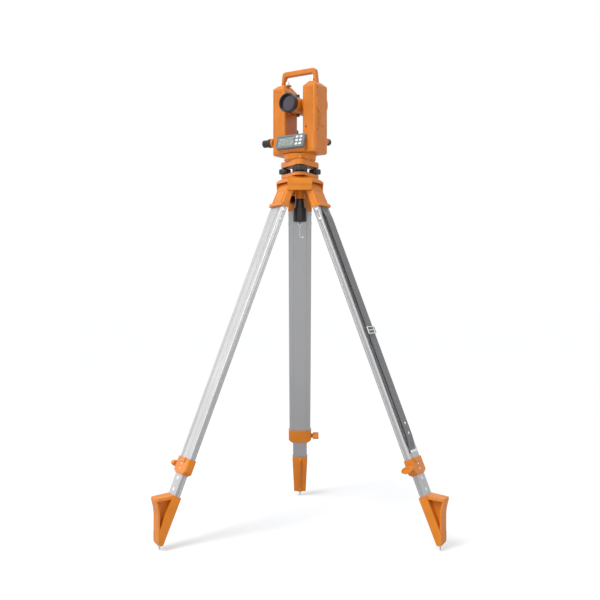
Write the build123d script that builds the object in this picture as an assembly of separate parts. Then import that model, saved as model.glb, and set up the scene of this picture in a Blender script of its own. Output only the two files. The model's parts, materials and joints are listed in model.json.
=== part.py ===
from build123d import *
import math
import os

# Electronic theodolite on an extending tripod.
# Millimetres, +Z up. The origin is the station point on the ground, under the vertical axis.
# The front of the tripod faces -Y. The instrument is turned about +Z by YAW.

# Running and sliding clearances
FIT = 0.05  # radial, a shaft in its bore
SLIDE = 0.15  # each side, a sliding section
GAP = 0.3  # between surfaces that turn past each other
SEAT = 0.1  # each side, a fixed piece in its pocket
OVER = 1.0  # how far a cutter or a root runs past the face it meets

# Stance
LEG_TILT = 22.13
LEG_AZIMUTHS = {"rear": 90, "left": 210, "right": 330}
HINGE_R = 47.9
HINGE_Z = 1095.0
FOOT_IN = 17.6
YAW = -33.0

# Tripod head
HEAD_TOP = 1126.5
HEAD_APOTHEM = 65.2
HEAD_TOP_R = 44.0
HEAD_BEVEL_DROP = 16.5
HEAD_WALL_BOTTOM = 1079.0
HEAD_STEP_Z = 1097.0
HEAD_STEP = 1.0
HEAD_HOLE_R = 28.0
BARREL_R = 9.5
BARREL_GAP = 0.5
BRACKET_SIDE_GAP = 0.9
PIN_R = 5.0
PIN_LENGTH = 84.0

# Leg bracket, in leg coordinates: u outwards, t sideways, s down the leg from the hinge
BRACKET_TOP_W = 68.4
BRACKET_W = 78.6
BRACKET_D = 24.0
BRACKET_SHOULDER_S = 20.0
BRACKET_BOTTOM_S = 72.0
BRACKET_CORNER = 4.0
TONGUE_W = 55.0
TONGUE_OUT = 1.5
TONGUE_BOTTOM_S = 70.0
MOUTH_TOP_S = 70.0
MOUTH_BOTTOM_S = 77.0
MOUTH_OUT = 5.5
MOUTH_CHAMFER = 2.5
TONGUE_RIM = 3.0
TONGUE_RECESS = 0.9
SPIGOT_S = 126.0
SOCKET_DEPTH = 8.0

# Upper leg
LEG_W = 76.0
LEG_D = 20.0
LEG_CORNER = 4.0
LEG_WALL = 1.25
LEG_END_S = 935.0
WEB = 1.2
SIDE_WALL = 3.4
GROOVE_W = 5.0
GROOVE_DEPTH = 2.0
SCORE_W = 1.6
SCORE_DEPTH = 0.6
OUTER_SCORE_T = 15.0
INNER_SCORE_T = 22.0

# Inner leg
INNER_W = 50.6
INNER_TOP_S = 330.0
INNER_TAIL = 24.0
INNER_GROOVE_W = 6.0
INNER_GROOVE_DEPTH = 1.5

# Collar at the foot of the upper leg, and its wing screw
COLLAR_SIDE = 3.0
COLLAR_D = 26.0
COLLAR_TOP_S = 900.0
COLLAR_BOTTOM_S = 946.0
COLLAR_CORNER = 5.0
COLLAR_CHAMFER = 9.0
COLLAR_LIP = 4.0
COLLAR_LIP_W = 58.0
COLLAR_LIP_D = 22.0
COLLAR_BOSS_W = 36.0
COLLAR_BOSS_H = 13.0
COLLAR_BOSS_OUT = 3.0
COLLAR_LIP_CORNER = 3.0
COLLAR_BOSS_CORNER = 4.0
WING_S = 926.0
WING_BOSS_R = 8.0
WING_BOSS_OUT = 6.0
WING_SHAFT_R = 4.0
WING_LENGTH = 20.5
WING_LONG = 35.0
WING_SHORT = 20.0
WING_DISH = 1.5
WING_RIM = 3.0

# Shoe, with heights above the ground and offsets out from the foot point
SHOE_TOP_S = 1014.0
SHOE_BODY_D = 26.0
SHOE_TOP_W = 55.0
SHOE_BOTTOM_W = 43.0
SHOE_BOTTOM_Z = 17.0
SHOE_HEEL_Z = 33.0
SHOE_HEEL_IN = 12.0
SHOE_SOLE_IN = 9.0
SHOE_SOLE_OUT = 6.0
TREAD_W = 48.0
TREAD_OUT = 18.4
TREAD_Z = 155.0
TREAD_RISE = 6.0
TREAD_THICK = 8.0
TREAD_DRAFT = 2.0
TREAD_CORNER = 8.0
FLANGE_W = 41.0
FLANGE_THICK = 5.0
FLANGE_OUT = 10.5
FLANGE_KNEE_Z = 95.0
FLANGE_TOE_Z = 25.0
FLANGE_BULGE_OUT = 2.2
FLANGE_BULGE_UP = 3.0
SHOE_WEB = 8.0
KEEL_W = 5.0
KEEL_OUT = 5.0
POINT_R = 4.2
POINT_TIP_R = 0.8
POINT_SHANK_R = 3.5
POINT_SHANK = 14.0
WASHER_R = 8.0
WASHER_THICK = 2.0

# Carrying strap along the outer face of the right leg
STRAP_W = 42.5
STRAP_THICK = 2.4
STRAP_STAND_OFF = 5.5
STRAP_RAMP = 42.0
STRAP_LEAD = 6.0
STRAP_TOP_S = 78.0
STRAP_BOTTOM_S = 884.0
ANCHOR_H = 8.0
ANCHOR_THICK = 2.2
ANCHOR_W = 46.0
BUCKLE_S = 497.0
BUCKLE_W = 52.0
BUCKLE_H = 24.0
BUCKLE_WIRE = 3.0

# Centre screw under the head
ARM_PIVOT_R = 33.0
ARM_THICK = 5.0
ARM_NOSE = 21.0
ARM_PIN_R = 4.0
ARM_BOSS_R = 6.5
SHIFT = 9.0
STUD_R = 7.9
SCREW_SLEEVE_R = 15.5
NECK_TOP_Z = 1057.0
NECK_TOP_R = 14.2
NECK_R = 17.5
GRIP_TOP_Z = 1028.0
GRIP_BOTTOM_Z = 983.5
GRIP_R = 22.5
GRIP_ROUND = 6.0
GRIP_SHOULDER = 2.0
GRIP_FLUTES = 8
GRIP_FLUTE_R = 4.0
GRIP_FLUTE_DEEP = 1.2
STUD_SHORT = 1.0
EYE_WIRE_R = 1.1
EYE_R = 4.2
EYE_BURY = 2.0
HOOK_TOP_Z = 977.0
HOOK_BOTTOM_Z = 932.0
HOOK_WIRE_R = 1.2
HOOK_R = 5.5

# Heights above the head top
BASE_PLATE_H = 10.0
KNOB_LOW_H = 13.6
KNOB_HIGH_H = 28.5
TRIVET_LOW_H = 32.5
TRIVET_HIGH_H = 50.0
CIRCLE_LOW_H = 53.0
CIRCLE_HIGH_H = 70.0
ALIDADE_SPLIT = 0.4
BASE_TOP_H = 130.0
TRUNNION_H = 226.0
STANDARD_TOP_H = 296.0

# Levelling base
PLATE_CORNER_R = 51.5
PLATE_ROUND = 16.0
PLATE_CHAMFER = 1.5
FOOTSCREW_R = 56.0
KNOB_R = 19.3
KNOB_BEVEL = 1.5
KNOB_FLUTES = 12
KNOB_FLUTE_R = 2.4
KNOB_FLUTE_DEEP = 1.1
STEM_R = 4.7
STEM_FOOT_R = 5.5
STEM_FOOT_DEPTH = 4.5
STEM_TILT_ROOM = 0.4
SPRING_PLATE_R = 34.0
SPRING_PLATE_LOW_H = 11.2
SPRING_PLATE_THICK = 2.0
SPRING_POST_R = 24.0
SPRING_POST_TOP_R = 12.0
SPRING_POST_SLOPE = 1.4
SPRING_POST_GAP = 0.6
BAND_R = 47.0
STEM_TOP_ROOM = 3.0
CIRCLE_LOW_R = 50.0
CIRCLE_HIGH_R = 53.0
AXIS_R = 14.0
AXIS_TOP_H = 110.0
LOCK_H = 57.3
LOCK_R = 6.5
LOCK_NEAR = 52.5
LOCK_FAR = 60.0
LOCK_ROUND = 1.5
LOCK_SHAFT_R = 3.0
LOCK_SHAFT_IN = 36.0

# Alidade, in instrument coordinates: x to the right, y to the back
BASE_W = 164.0
BASE_D = 81.0
BASE_CORNER = 12.0
BASE_EDGE = 4.0
SPLIT_H = 80.0
SPLIT_W = 1.2
SPLIT_DEEP = 0.8
SEAT_BLOCK_IN = 3.0
SEAT_BLOCK_LOW_H = 73.0
SEAT_BLOCK_TOE_Y = -46.0
STANDARD_IN = 32.0
STANDARD_OUT = 82.0
STANDARD_D = 75.6
STANDARD_CORNER = 8.0
PAD_IN = 46.0
PAD_OUT = 68.0
PAD_D = 44.0
EAVES_IN_DROP = 21.0
EAVES_OUT_DROP = 13.0
EAVES_FRONT_DROP = 15.0
STEP_MARGIN = 8.0
STANDARD_STEP_X = 47.0
STANDARD_STEP = 0.8
INNER_BOSS_R = 31.0
INNER_BOSS_OUT = 5.5
INNER_BOSS_EDGE = 2.0
BOSS_ROOT = 4.0
COVER_R = 24.0
WIDE_COVER_R = 33.0
COVER_OUT = 2.5
PANEL_W = 34.0
PANEL_H = 46.0
PANEL_MID_DROP = 48.0
PANEL_OUT = 1.5

# Control panel
CONSOLE_W = 104.0
CONSOLE_H = 44.4
CONSOLE_THICK = 12.0
CONSOLE_LEAN = 17.0
CONSOLE_MID_H = 107.75
CONSOLE_MID_Y = 57.5
CONSOLE_CORNER = 4.0
WINDOW_W = 62.0
WINDOW_H = 32.0
WINDOW_THICK = 1.5
WINDOW_SUNK = 0.7
WINDOW_X = -17.0
BUTTON_W = 9.6
BUTTON_H = 7.6
BUTTON_PROUD = 1.6
BUTTON_DEEP = 3.0
BUTTON_TRAVEL = 1.0
BUTTON_CORNER = 1.5
BUTTON_COLUMNS = (25.5, 39.5)
BUTTON_ROWS = (12.0, 0.0, -12.0)

# Knobs and eyepieces on the alidade
SIDE_KNOB_Y = -30.0
SIDE_KNOB_DROP = 17.0
SIDE_KNOB_REACH = 37.5
SIDE_BOSS_OUT = 3.0
CLAMP_R = 14.5
CLAMP_THICK = 12.0
TANGENT_R = 12.0
RING_BEVEL = 1.0
RING_FLUTES = 10
RING_FLUTE_R = 1.8
RING_FLUTE_DEEP = 0.9
KNOB_SHAFT_R = 4.0
KNOB_SHAFT_IN = 8.0
BACK_KNOB_X = -57.5
BACK_KNOB_RISE = 30.0
BACK_KNOB_FAR = 67.0
BACK_CLAMP_R = 12.0
BACK_CLAMP_THICK = 11.0
BACK_TANGENT_R = 9.5
PLUMMET_X = 62.0
PLUMMET_DROP = 13.0
PLUMMET_BOSS_R = 13.0
PLUMMET_BOSS_TIP_R = 12.0
PLUMMET_BOSS_OUT = 16.0
PLUMMET_R = 11.0
PLUMMET_BEVEL = 1.5
PLUMMET_RIM = 4.0
PLUMMET_DISH = 3.0
PLUMMET_FAR = 76.0
PLUMMET_SHAFT_R = 6.0
PLUMMET_SHAFT_IN = 8.0

# Telescope, with offsets from the trunnion axis
TUBE_R = 25.0
TUBE_WAIST_R = 22.0
BLOCK_R = 25.8
BLOCK_HALF = 24.0
BLOCK_EASE = 3.0
BOSS_R = 19.0
BOSS_HALF = 26.2
TRUNNION_R = 12.0
TRUNNION_END = 60.0
HOOD_R = 30.0
HOOD_FRONT = 76.0
HOOD_BACK = 54.0
HOOD_WALL = 3.0
HOOD_BACK_BEVEL = 2.0
HOOD_LIP = 1.0
LENS_R = 24.0
LENS_THICK = 4.0
LENS_SUNK = 8.0
LENS_DOME = 1.5
LENS_MID_DOME = 0.4
TUBE_BACK = 42.0
FOCUS_R = 22.0
FOCUS_LENGTH = 18.0
FOCUS_FLUTES = 12
FOCUS_CHAMFER = 2.0
FOCUS_STEP = 3.0
EYEPIECE_R = 14.0
EYEPIECE_CUP_R = 11.0
EYEPIECE_LENGTH = 18.0
CUP_RIM = 4.0
CUP_DISH = 3.0
DRAW_R = 8.0
DRAW_DEEP = 6.0
SIGHT_W = 7.0
SIGHT_FRONT = 19.0
SIGHT_LENGTH = 15.0
SIGHT_SLOPE = 2.5
SIGHT_TOP = 36.3
SIGHT_LOW = 34.0

# Carrying handle
HANDLE_FOOT_HALF = 68.0
HANDLE_HALF = 62.5
HANDLE_RISE = 46.5
HANDLE_D = 18.0
HANDLE_UPRIGHT = 10.0
HANDLE_BAR = 17.0
HANDLE_ROUND = 13.0
HANDLE_INNER_ROUND = 7.0
HANDLE_EDGE = 2.5
HANDLE_EDGE_RISE = 4.0
HANDLE_FOOT_IN = 38.0
HANDLE_FOOT = 5.0
HANDLE_SCREW_X = 48.0
HANDLE_SCREW_R = 7.0
HANDLE_SCREW_H = 10.0
HANDLE_SCREW_SHAFT_R = 3.0
HANDLE_SCREW_DEEP = 8.0

# Places that follow from the sizes above
tilt_cos = math.cos(math.radians(LEG_TILT))
foot_r = HINGE_R + HINGE_Z * math.tan(math.radians(LEG_TILT)) - FOOT_IN
collar_w = LEG_W + 2 * COLLAR_SIDE
side_knob_h = BASE_TOP_H - SIDE_KNOB_DROP
side_knob_far = BASE_W / 2 + SIDE_KNOB_REACH
back_knob_h = BASE_TOP_H + BACK_KNOB_RISE
plummet_h = BASE_TOP_H - PLUMMET_DROP
inner_d = LEG_D - 2 * LEG_WALL - 2 * SLIDE
canopy_z = HINGE_Z + BARREL_R + BARREL_GAP
slot_w = BRACKET_TOP_W + 2 * BRACKET_SIDE_GAP
radial = Pos(HINGE_R, 0, HINGE_Z) * Rot(0, -LEG_TILT, 0)
instrument = Pos(0, 0, HEAD_TOP) * Rot(0, 0, YAW)
above_head = Pos(0, 0, HEAD_TOP)
console_face = Pos(0, -CONSOLE_MID_Y, CONSOLE_MID_H) * Rot(90 - CONSOLE_LEAN, 0, 0)


def rod(radius, low, high):
    """A round bar along Z from one height to another."""
    return Pos(0, 0, low) * Cylinder(
        radius, high - low, align=(Align.CENTER, Align.CENTER, Align.MIN)
    )


def block(x_low, x_high, y_low, y_high, z_low, z_high):
    """A box between two corners."""
    return Pos(x_low, y_low, z_low) * Box(
        x_high - x_low, y_high - y_low, z_high - z_low, align=Align.MIN
    )


def turned(points):
    """A solid of revolution about Z from (radius, height) points."""
    return revolve(Plane.XZ * make_face(Polyline(*points, close=True)), Axis.Z)


def across(points, width):
    """A prism along Y, centred, from (x, z) points."""
    return extrude(
        Plane.XZ * make_face(Polyline(*points, close=True)), width / 2, both=True
    )


def along_x(solid):
    """Turns a solid built along +Z to lie along +X."""
    return Rot(0, 90, 0) * solid


def along_y(solid):
    """Turns a solid built along +Z to lie along +Y."""
    return Rot(-90, 0, 0) * solid


def fluted(solid, count, radius, flute_r, low, high):
    """Cuts shallow finger flutes round a knob."""
    for i in range(count):
        flute = Rot(0, 0, 360 / count * i) * Pos(radius, 0, 0) * rod(flute_r, low, high)
        solid -= flute
    return solid


def tripod_head():
    """Hexagonal casting with a bevelled crown and a slot for each leg."""
    hexagon = RegularPolygon(HEAD_APOTHEM, 6, major_radius=False)
    skirt = RegularPolygon(HEAD_APOTHEM - HEAD_STEP, 6, major_radius=False)
    head = Pos(0, 0, HEAD_STEP_Z) * extrude(hexagon, HEAD_TOP - HEAD_STEP_Z)
    head += Pos(0, 0, HEAD_WALL_BOTTOM) * extrude(
        skirt, HEAD_STEP_Z - HEAD_WALL_BOTTOM
    )
    corner_r = HEAD_APOTHEM / math.cos(math.radians(30)) + OVER
    crown = turned(
        [
            (0, HEAD_WALL_BOTTOM),
            (corner_r, HEAD_WALL_BOTTOM),
            (corner_r, HEAD_TOP - HEAD_BEVEL_DROP),
            (HEAD_TOP_R, HEAD_TOP),
            (0, HEAD_TOP),
        ]
    )
    head &= crown
    for azimuth in LEG_AZIMUTHS.values():
        slot = block(
            0, 2 * HEAD_APOTHEM, -slot_w / 2, slot_w / 2, HEAD_WALL_BOTTOM - OVER, canopy_z
        )
        head -= Rot(0, 0, azimuth) * slot
        bore = Pos(HINGE_R, 0, HINGE_Z) * Rot(90, 0, 0) * Cylinder(PIN_R, PIN_LENGTH)
        head -= Rot(0, 0, azimuth) * bore
    head -= rod(HEAD_HOLE_R, canopy_z - OVER, HEAD_TOP + OVER)
    head += Pos(0, -ARM_PIVOT_R, 0) * rod(
        ARM_PIN_R, canopy_z - ARM_THICK - 2 * GAP, canopy_z
    )
    return head


def hinge_pins():
    """The three leg hinge pins, fixed in the head."""
    pins = []
    for azimuth in LEG_AZIMUTHS.values():
        pin = Pos(HINGE_R, 0, HINGE_Z) * Rot(90, 0, 0) * Cylinder(PIN_R, PIN_LENGTH)
        pins.append(Rot(0, 0, azimuth) * pin)
    return Compound(pins)


def leg_bracket():
    """Cast sleeve at the top of a leg: hinge barrel, flared cap, tongue and spigot."""
    top = BRACKET_TOP_W / 2
    bottom = BRACKET_W / 2
    face = make_face(
        Polyline(
            (-top, BARREL_R),
            (top, BARREL_R),
            (top, -BRACKET_SHOULDER_S),
            (bottom, -BRACKET_BOTTOM_S),
            (-bottom, -BRACKET_BOTTOM_S),
            (-top, -BRACKET_SHOULDER_S),
            close=True,
        )
    )
    front = extrude(Plane.YZ * face, BRACKET_D, both=True)
    half = BRACKET_D / 2
    side = across(
        [
            (-half, -BRACKET_BOTTOM_S),
            (half, -BRACKET_BOTTOM_S),
            (half, -BRACKET_SHOULDER_S),
            (BARREL_R, 0),
            (-BARREL_R, 0),
            (-half, -BRACKET_SHOULDER_S),
        ],
        BRACKET_W + 2 * OVER,
    )
    barrel = Rot(90, 0, 0) * Cylinder(BARREL_R, BRACKET_W + 2 * OVER)
    body = front & (side + barrel)
    corners = body.edges().filter_by(
        lambda e: abs(abs(e.center().X) - half) < 0.1 and abs(e.center().Y) > top
    )
    body = fillet(corners, BRACKET_CORNER)
    lip = TONGUE_W / 2
    tongue = block(
        0, half + TONGUE_OUT, -lip, lip, -TONGUE_BOTTOM_S, -BRACKET_SHOULDER_S
    )
    recess = block(
        half + TONGUE_OUT - TONGUE_RECESS,
        half + TONGUE_OUT,
        -lip + TONGUE_RIM,
        lip - TONGUE_RIM,
        -TONGUE_BOTTOM_S + TONGUE_RIM,
        -BRACKET_SHOULDER_S - TONGUE_RIM,
    )
    mouth = block(
        0, half + MOUTH_OUT, -bottom, bottom, -MOUTH_BOTTOM_S, -MOUTH_TOP_S + MOUTH_OUT
    )
    slope = mouth.edges().filter_by(Axis.Y).group_by(Axis.X)[-1].group_by(Axis.Z)
    mouth = chamfer(slope[-1], MOUTH_OUT - TONGUE_OUT)
    ends = mouth.edges().filter_by(Axis.Z).group_by(Axis.X)[-1]
    mouth = chamfer(ends, MOUTH_CHAMFER)
    body += mouth
    body += tongue - recess
    leg_top = BRACKET_BOTTOM_S - SOCKET_DEPTH
    pocket_low = MOUTH_BOTTOM_S + OVER
    pocket = Pos(0, 0, -pocket_low) * extrude(
        RectangleRounded(LEG_D, LEG_W, LEG_CORNER), pocket_low - leg_top
    )
    body -= pocket
    spigot = block(
        -inner_d / 2,
        inner_d / 2,
        -INNER_W / 2,
        INNER_W / 2,
        -SPIGOT_S,
        -leg_top,
    )
    body += spigot
    body -= Rot(90, 0, 0) * Cylinder(PIN_R + FIT, BRACKET_W)
    return body


def upper_leg():
    """Extruded leg with a centre chamber for the inner leg and a chamber down each side."""
    section = RectangleRounded(LEG_D, LEG_W, LEG_CORNER)
    chamber_w = INNER_W + 2 * SLIDE
    depth = LEG_D - 2 * LEG_WALL
    section -= Rectangle(depth, chamber_w)
    side_in = chamber_w / 2 + WEB
    side_out = LEG_W / 2 - SIDE_WALL
    side_w = side_out - side_in
    for sign in (-1, 1):
        section -= Pos(0, sign * (side_in + side_out) / 2) * Rectangle(depth, side_w)
        section -= Pos(0, sign * LEG_W / 2) * Rectangle(GROOVE_W, 2 * GROOVE_DEPTH)
        section -= Pos(LEG_D / 2, sign * OUTER_SCORE_T) * Rectangle(
            2 * SCORE_DEPTH, SCORE_W
        )
        section -= Pos(-LEG_D / 2, sign * INNER_SCORE_T) * Rectangle(
            2 * SCORE_DEPTH, SCORE_W
        )
    leg_top = BRACKET_BOTTOM_S - SOCKET_DEPTH
    return Pos(0, 0, -LEG_END_S) * extrude(section, LEG_END_S - leg_top)


def inner_section(grow=0.0):
    """Section of the inner leg, grown all round for the pocket that holds it."""
    section = Rectangle(inner_d + 2 * grow, INNER_W + 2 * grow)
    for sign in (-1, 1):
        section -= Pos(0, sign * (INNER_W / 2 + grow)) * Rectangle(
            INNER_GROOVE_W - 2 * grow, 2 * INNER_GROOVE_DEPTH
        )
    return section


def leg_collar():
    """Clamp collar: a socket on the upper leg, with a throat for the inner leg."""
    blank = RectangleRounded(COLLAR_D, collar_w, COLLAR_CORNER)
    height = COLLAR_BOTTOM_S - COLLAR_TOP_S
    collar = Pos(0, 0, -COLLAR_BOTTOM_S) * extrude(blank, height)
    half = collar_w / 2
    shape = Polyline(
        (-half, -COLLAR_TOP_S),
        (half, -COLLAR_TOP_S),
        (half, -COLLAR_BOTTOM_S + COLLAR_CHAMFER),
        (half - COLLAR_CHAMFER, -COLLAR_BOTTOM_S),
        (-half + COLLAR_CHAMFER, -COLLAR_BOTTOM_S),
        (-half, -COLLAR_BOTTOM_S + COLLAR_CHAMFER),
        close=True,
    )
    collar &= extrude(Plane.YZ * make_face(shape), COLLAR_D, both=True)
    lip_low = COLLAR_BOTTOM_S + COLLAR_LIP
    lip = RectangleRounded(COLLAR_LIP_D, COLLAR_LIP_W, COLLAR_LIP_CORNER)
    collar += Pos(0, 0, -lip_low) * extrude(lip, COLLAR_LIP + OVER)
    boss_out = COLLAR_D / 2 + COLLAR_BOSS_OUT
    boss = block(
        0,
        boss_out,
        -COLLAR_BOSS_W / 2,
        COLLAR_BOSS_W / 2,
        -COLLAR_TOP_S - COLLAR_BOSS_H,
        -COLLAR_TOP_S,
    )
    boss = fillet(
        boss.edges().filter_by(Axis.X).group_by(Axis.Z)[0], COLLAR_BOSS_CORNER
    )
    collar += boss
    side_boss = rod(WING_BOSS_R, half - COLLAR_CORNER, half + WING_BOSS_OUT)
    collar += Pos(0, 0, -WING_S) * Rot(90, 0, 0) * side_boss
    pocket = RectangleRounded(LEG_D + 2 * SEAT, LEG_W + 2 * SEAT, LEG_CORNER + SEAT)
    pocket_h = LEG_END_S + SEAT - COLLAR_TOP_S
    collar -= Pos(0, 0, -LEG_END_S - SEAT) * extrude(pocket, pocket_h + OVER)
    throat = Rectangle(inner_d + 2 * SLIDE, INNER_W + 2 * SLIDE)
    collar -= Pos(0, 0, -lip_low - OVER) * extrude(throat, COLLAR_LIP + height)
    hole = rod(WING_SHAFT_R + FIT, LEG_W / 2, half + WING_BOSS_OUT + OVER)
    collar -= Pos(0, 0, -WING_S) * Rot(90, 0, 0) * hole
    return collar


def wing_screw():
    """Clamp screw with an oval grip, its axis along the side of the collar."""
    near = collar_w / 2 + WING_BOSS_OUT + GAP
    oval = Ellipse(WING_LONG / 2, WING_SHORT / 2)
    grip = Pos(0, 0, near) * extrude(oval, WING_LENGTH)
    dish = Ellipse(WING_LONG / 2 - WING_RIM, WING_SHORT / 2 - WING_RIM)
    grip -= Pos(0, 0, near + WING_LENGTH - WING_DISH) * extrude(dish, WING_DISH + OVER)
    grip += rod(WING_SHAFT_R, LEG_W / 2 + SEAT + GAP, near + OVER)
    return Pos(0, 0, -WING_S) * Rot(90, 0, 0) * grip


def inner_leg():
    """Inner extrusion that slides out of the upper leg."""
    low = SHOE_TOP_S + INNER_TAIL
    return Pos(0, 0, -low) * extrude(inner_section(), low - INNER_TOP_S)


def shoe():
    """Cast shoe in the radial plane: socket, foot tread, outer flange, web and keel."""
    s_top = Vector(SHOE_BODY_D / -2, 0, -SHOE_TOP_S)
    inner_top = radial * Pos(*s_top)
    heel_x = foot_r - SHOE_HEEL_IN
    top_x = inner_top.position.X
    top_z = inner_top.position.Z
    face = radial * Pos(inner_d / 2, 0, -SHOE_TOP_S)
    face_x = face.position.X
    tread_x = foot_r + TREAD_OUT
    flange_x = foot_r + FLANGE_OUT
    tread_low = TREAD_Z - TREAD_THICK
    outline = make_face(
        Polyline(
            (tread_x, tread_low),
            (tread_x, TREAD_Z),
            (face_x, TREAD_Z + TREAD_RISE),
            (top_x, top_z),
            (heel_x, SHOE_HEEL_Z),
            (foot_r - SHOE_SOLE_IN, SHOE_BOTTOM_Z),
            (foot_r + SHOE_SOLE_OUT, SHOE_BOTTOM_Z),
            (flange_x, FLANGE_TOE_Z),
            (flange_x, FLANGE_KNEE_Z),
        )
        + ThreePointArc(
            (flange_x, FLANGE_KNEE_Z),
            (
                flange_x + FLANGE_BULGE_OUT,
                (FLANGE_KNEE_Z + tread_low) / 2 + FLANGE_BULGE_UP,
            ),
            (tread_x, tread_low),
        )
    )
    profile = Plane.XZ * outline
    web = extrude(profile, SHOE_WEB / 2, both=True)
    shell = extrude(profile, FLANGE_W / 2, both=True)
    cut = Pos(-FLANGE_THICK, 0, 0) * extrude(profile, FLANGE_W, both=True)
    flange = shell - cut
    flange &= block(foot_r, tread_x + OVER, -FLANGE_W, FLANGE_W, 0, TREAD_Z)
    tread = across(
        [
            (face_x, TREAD_Z + TREAD_RISE),
            (tread_x, TREAD_Z),
            (tread_x, tread_low),
            (face_x, tread_low + TREAD_RISE - TREAD_DRAFT),
        ],
        TREAD_W,
    )
    tread = fillet(
        tread.edges().filter_by(Axis.Z).group_by(Axis.X)[-1], TREAD_CORNER
    )
    length = (HINGE_Z - SHOE_BOTTOM_Z) / tilt_cos
    top = SHOE_TOP_W / 2
    bottom = SHOE_BOTTOM_W / 2
    taper = make_face(
        Polyline(
            (-top, -SHOE_TOP_S),
            (top, -SHOE_TOP_S),
            (bottom, -length),
            (-bottom, -length),
            close=True,
        )
    )
    body = radial * extrude(Plane.YZ * taper, SHOE_BODY_D / 2, both=True)
    body &= extrude(profile, SHOE_TOP_W, both=True)
    keel = across(
        [
            (top_x, top_z),
            (heel_x, SHOE_HEEL_Z),
            (heel_x - KEEL_OUT, SHOE_HEEL_Z + KEEL_OUT),
            (top_x - KEEL_OUT, top_z - 2 * KEEL_OUT),
        ],
        KEEL_W,
    )
    solid = web + flange + tread + body + keel
    socket = Pos(0, 0, -SHOE_TOP_S - INNER_TAIL - SEAT) * extrude(
        Rectangle(inner_d + 2 * SEAT, INNER_W + 2 * SEAT), INNER_TAIL * 3
    )
    solid -= radial * socket
    solid -= Pos(foot_r, 0, 0) * rod(
        POINT_SHANK_R + FIT, SHOE_BOTTOM_Z - OVER, SHOE_BOTTOM_Z + POINT_SHANK
    )
    return solid


def foot_point():
    """Steel ground point with its washer and shank."""
    point = turned(
        [
            (0, 0),
            (POINT_TIP_R, 0),
            (POINT_R, SHOE_BOTTOM_Z - WASHER_THICK),
            (WASHER_R, SHOE_BOTTOM_Z - WASHER_THICK),
            (WASHER_R, SHOE_BOTTOM_Z),
            (POINT_SHANK_R, SHOE_BOTTOM_Z),
            (POINT_SHANK_R, SHOE_BOTTOM_Z + POINT_SHANK - GAP),
            (0, SHOE_BOTTOM_Z + POINT_SHANK - GAP),
        ]
    )
    return Pos(foot_r, 0, 0) * point


def strap():
    """Webbing held at both ends, standing a little off the leg between them."""
    low = LEG_D / 2
    rise = low + STRAP_STAND_OFF
    anchor = STRAP_BOTTOM_S - ANCHOR_H
    inside = [
        (low, -STRAP_TOP_S),
        (low, -STRAP_TOP_S - STRAP_LEAD),
        (rise, -STRAP_TOP_S - STRAP_RAMP),
        (rise, -anchor + STRAP_RAMP),
        (low, -anchor),
        (low, -STRAP_BOTTOM_S),
    ]
    outside = [(u + STRAP_THICK, s) for u, s in reversed(inside)]
    return across(inside + outside, STRAP_W)


def strap_fittings():
    """Anchor plate at the foot of the strap and the slide buckle half way down."""
    anchor_u = LEG_D / 2 + STRAP_THICK
    anchor = block(
        anchor_u,
        anchor_u + ANCHOR_THICK,
        -ANCHOR_W / 2,
        ANCHOR_W / 2,
        -STRAP_BOTTOM_S,
        -STRAP_BOTTOM_S + ANCHOR_H,
    )
    buckle_u = LEG_D / 2 + STRAP_STAND_OFF + STRAP_THICK
    frame = Rectangle(BUCKLE_W, BUCKLE_H) - Rectangle(
        BUCKLE_W - 2 * BUCKLE_WIRE, BUCKLE_H - 2 * BUCKLE_WIRE
    )
    frame += Rectangle(BUCKLE_W, BUCKLE_WIRE)
    buckle = extrude(Plane.YZ * frame, BUCKLE_WIRE)
    return Compound([anchor, Pos(buckle_u, 0, -BUCKLE_S) * buckle])


def screw_arm():
    """Swinging arm under the head; the centre screw slides along its slot."""
    high = canopy_z - GAP
    low = high - ARM_THICK
    plan = Pos(0, -ARM_PIVOT_R) * Circle(ARM_BOSS_R)
    plan += Circle(ARM_NOSE)
    plan += Pos(0, -ARM_PIVOT_R / 2) * Rectangle(2 * ARM_BOSS_R, ARM_PIVOT_R)
    plan -= SlotOverall(2 * (SHIFT + STUD_R + GAP), 2 * (STUD_R + GAP), rotation=90)
    plan -= Pos(0, -ARM_PIVOT_R) * Circle(ARM_PIN_R + FIT)
    return Pos(0, 0, low) * extrude(plan, ARM_THICK)


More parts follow.
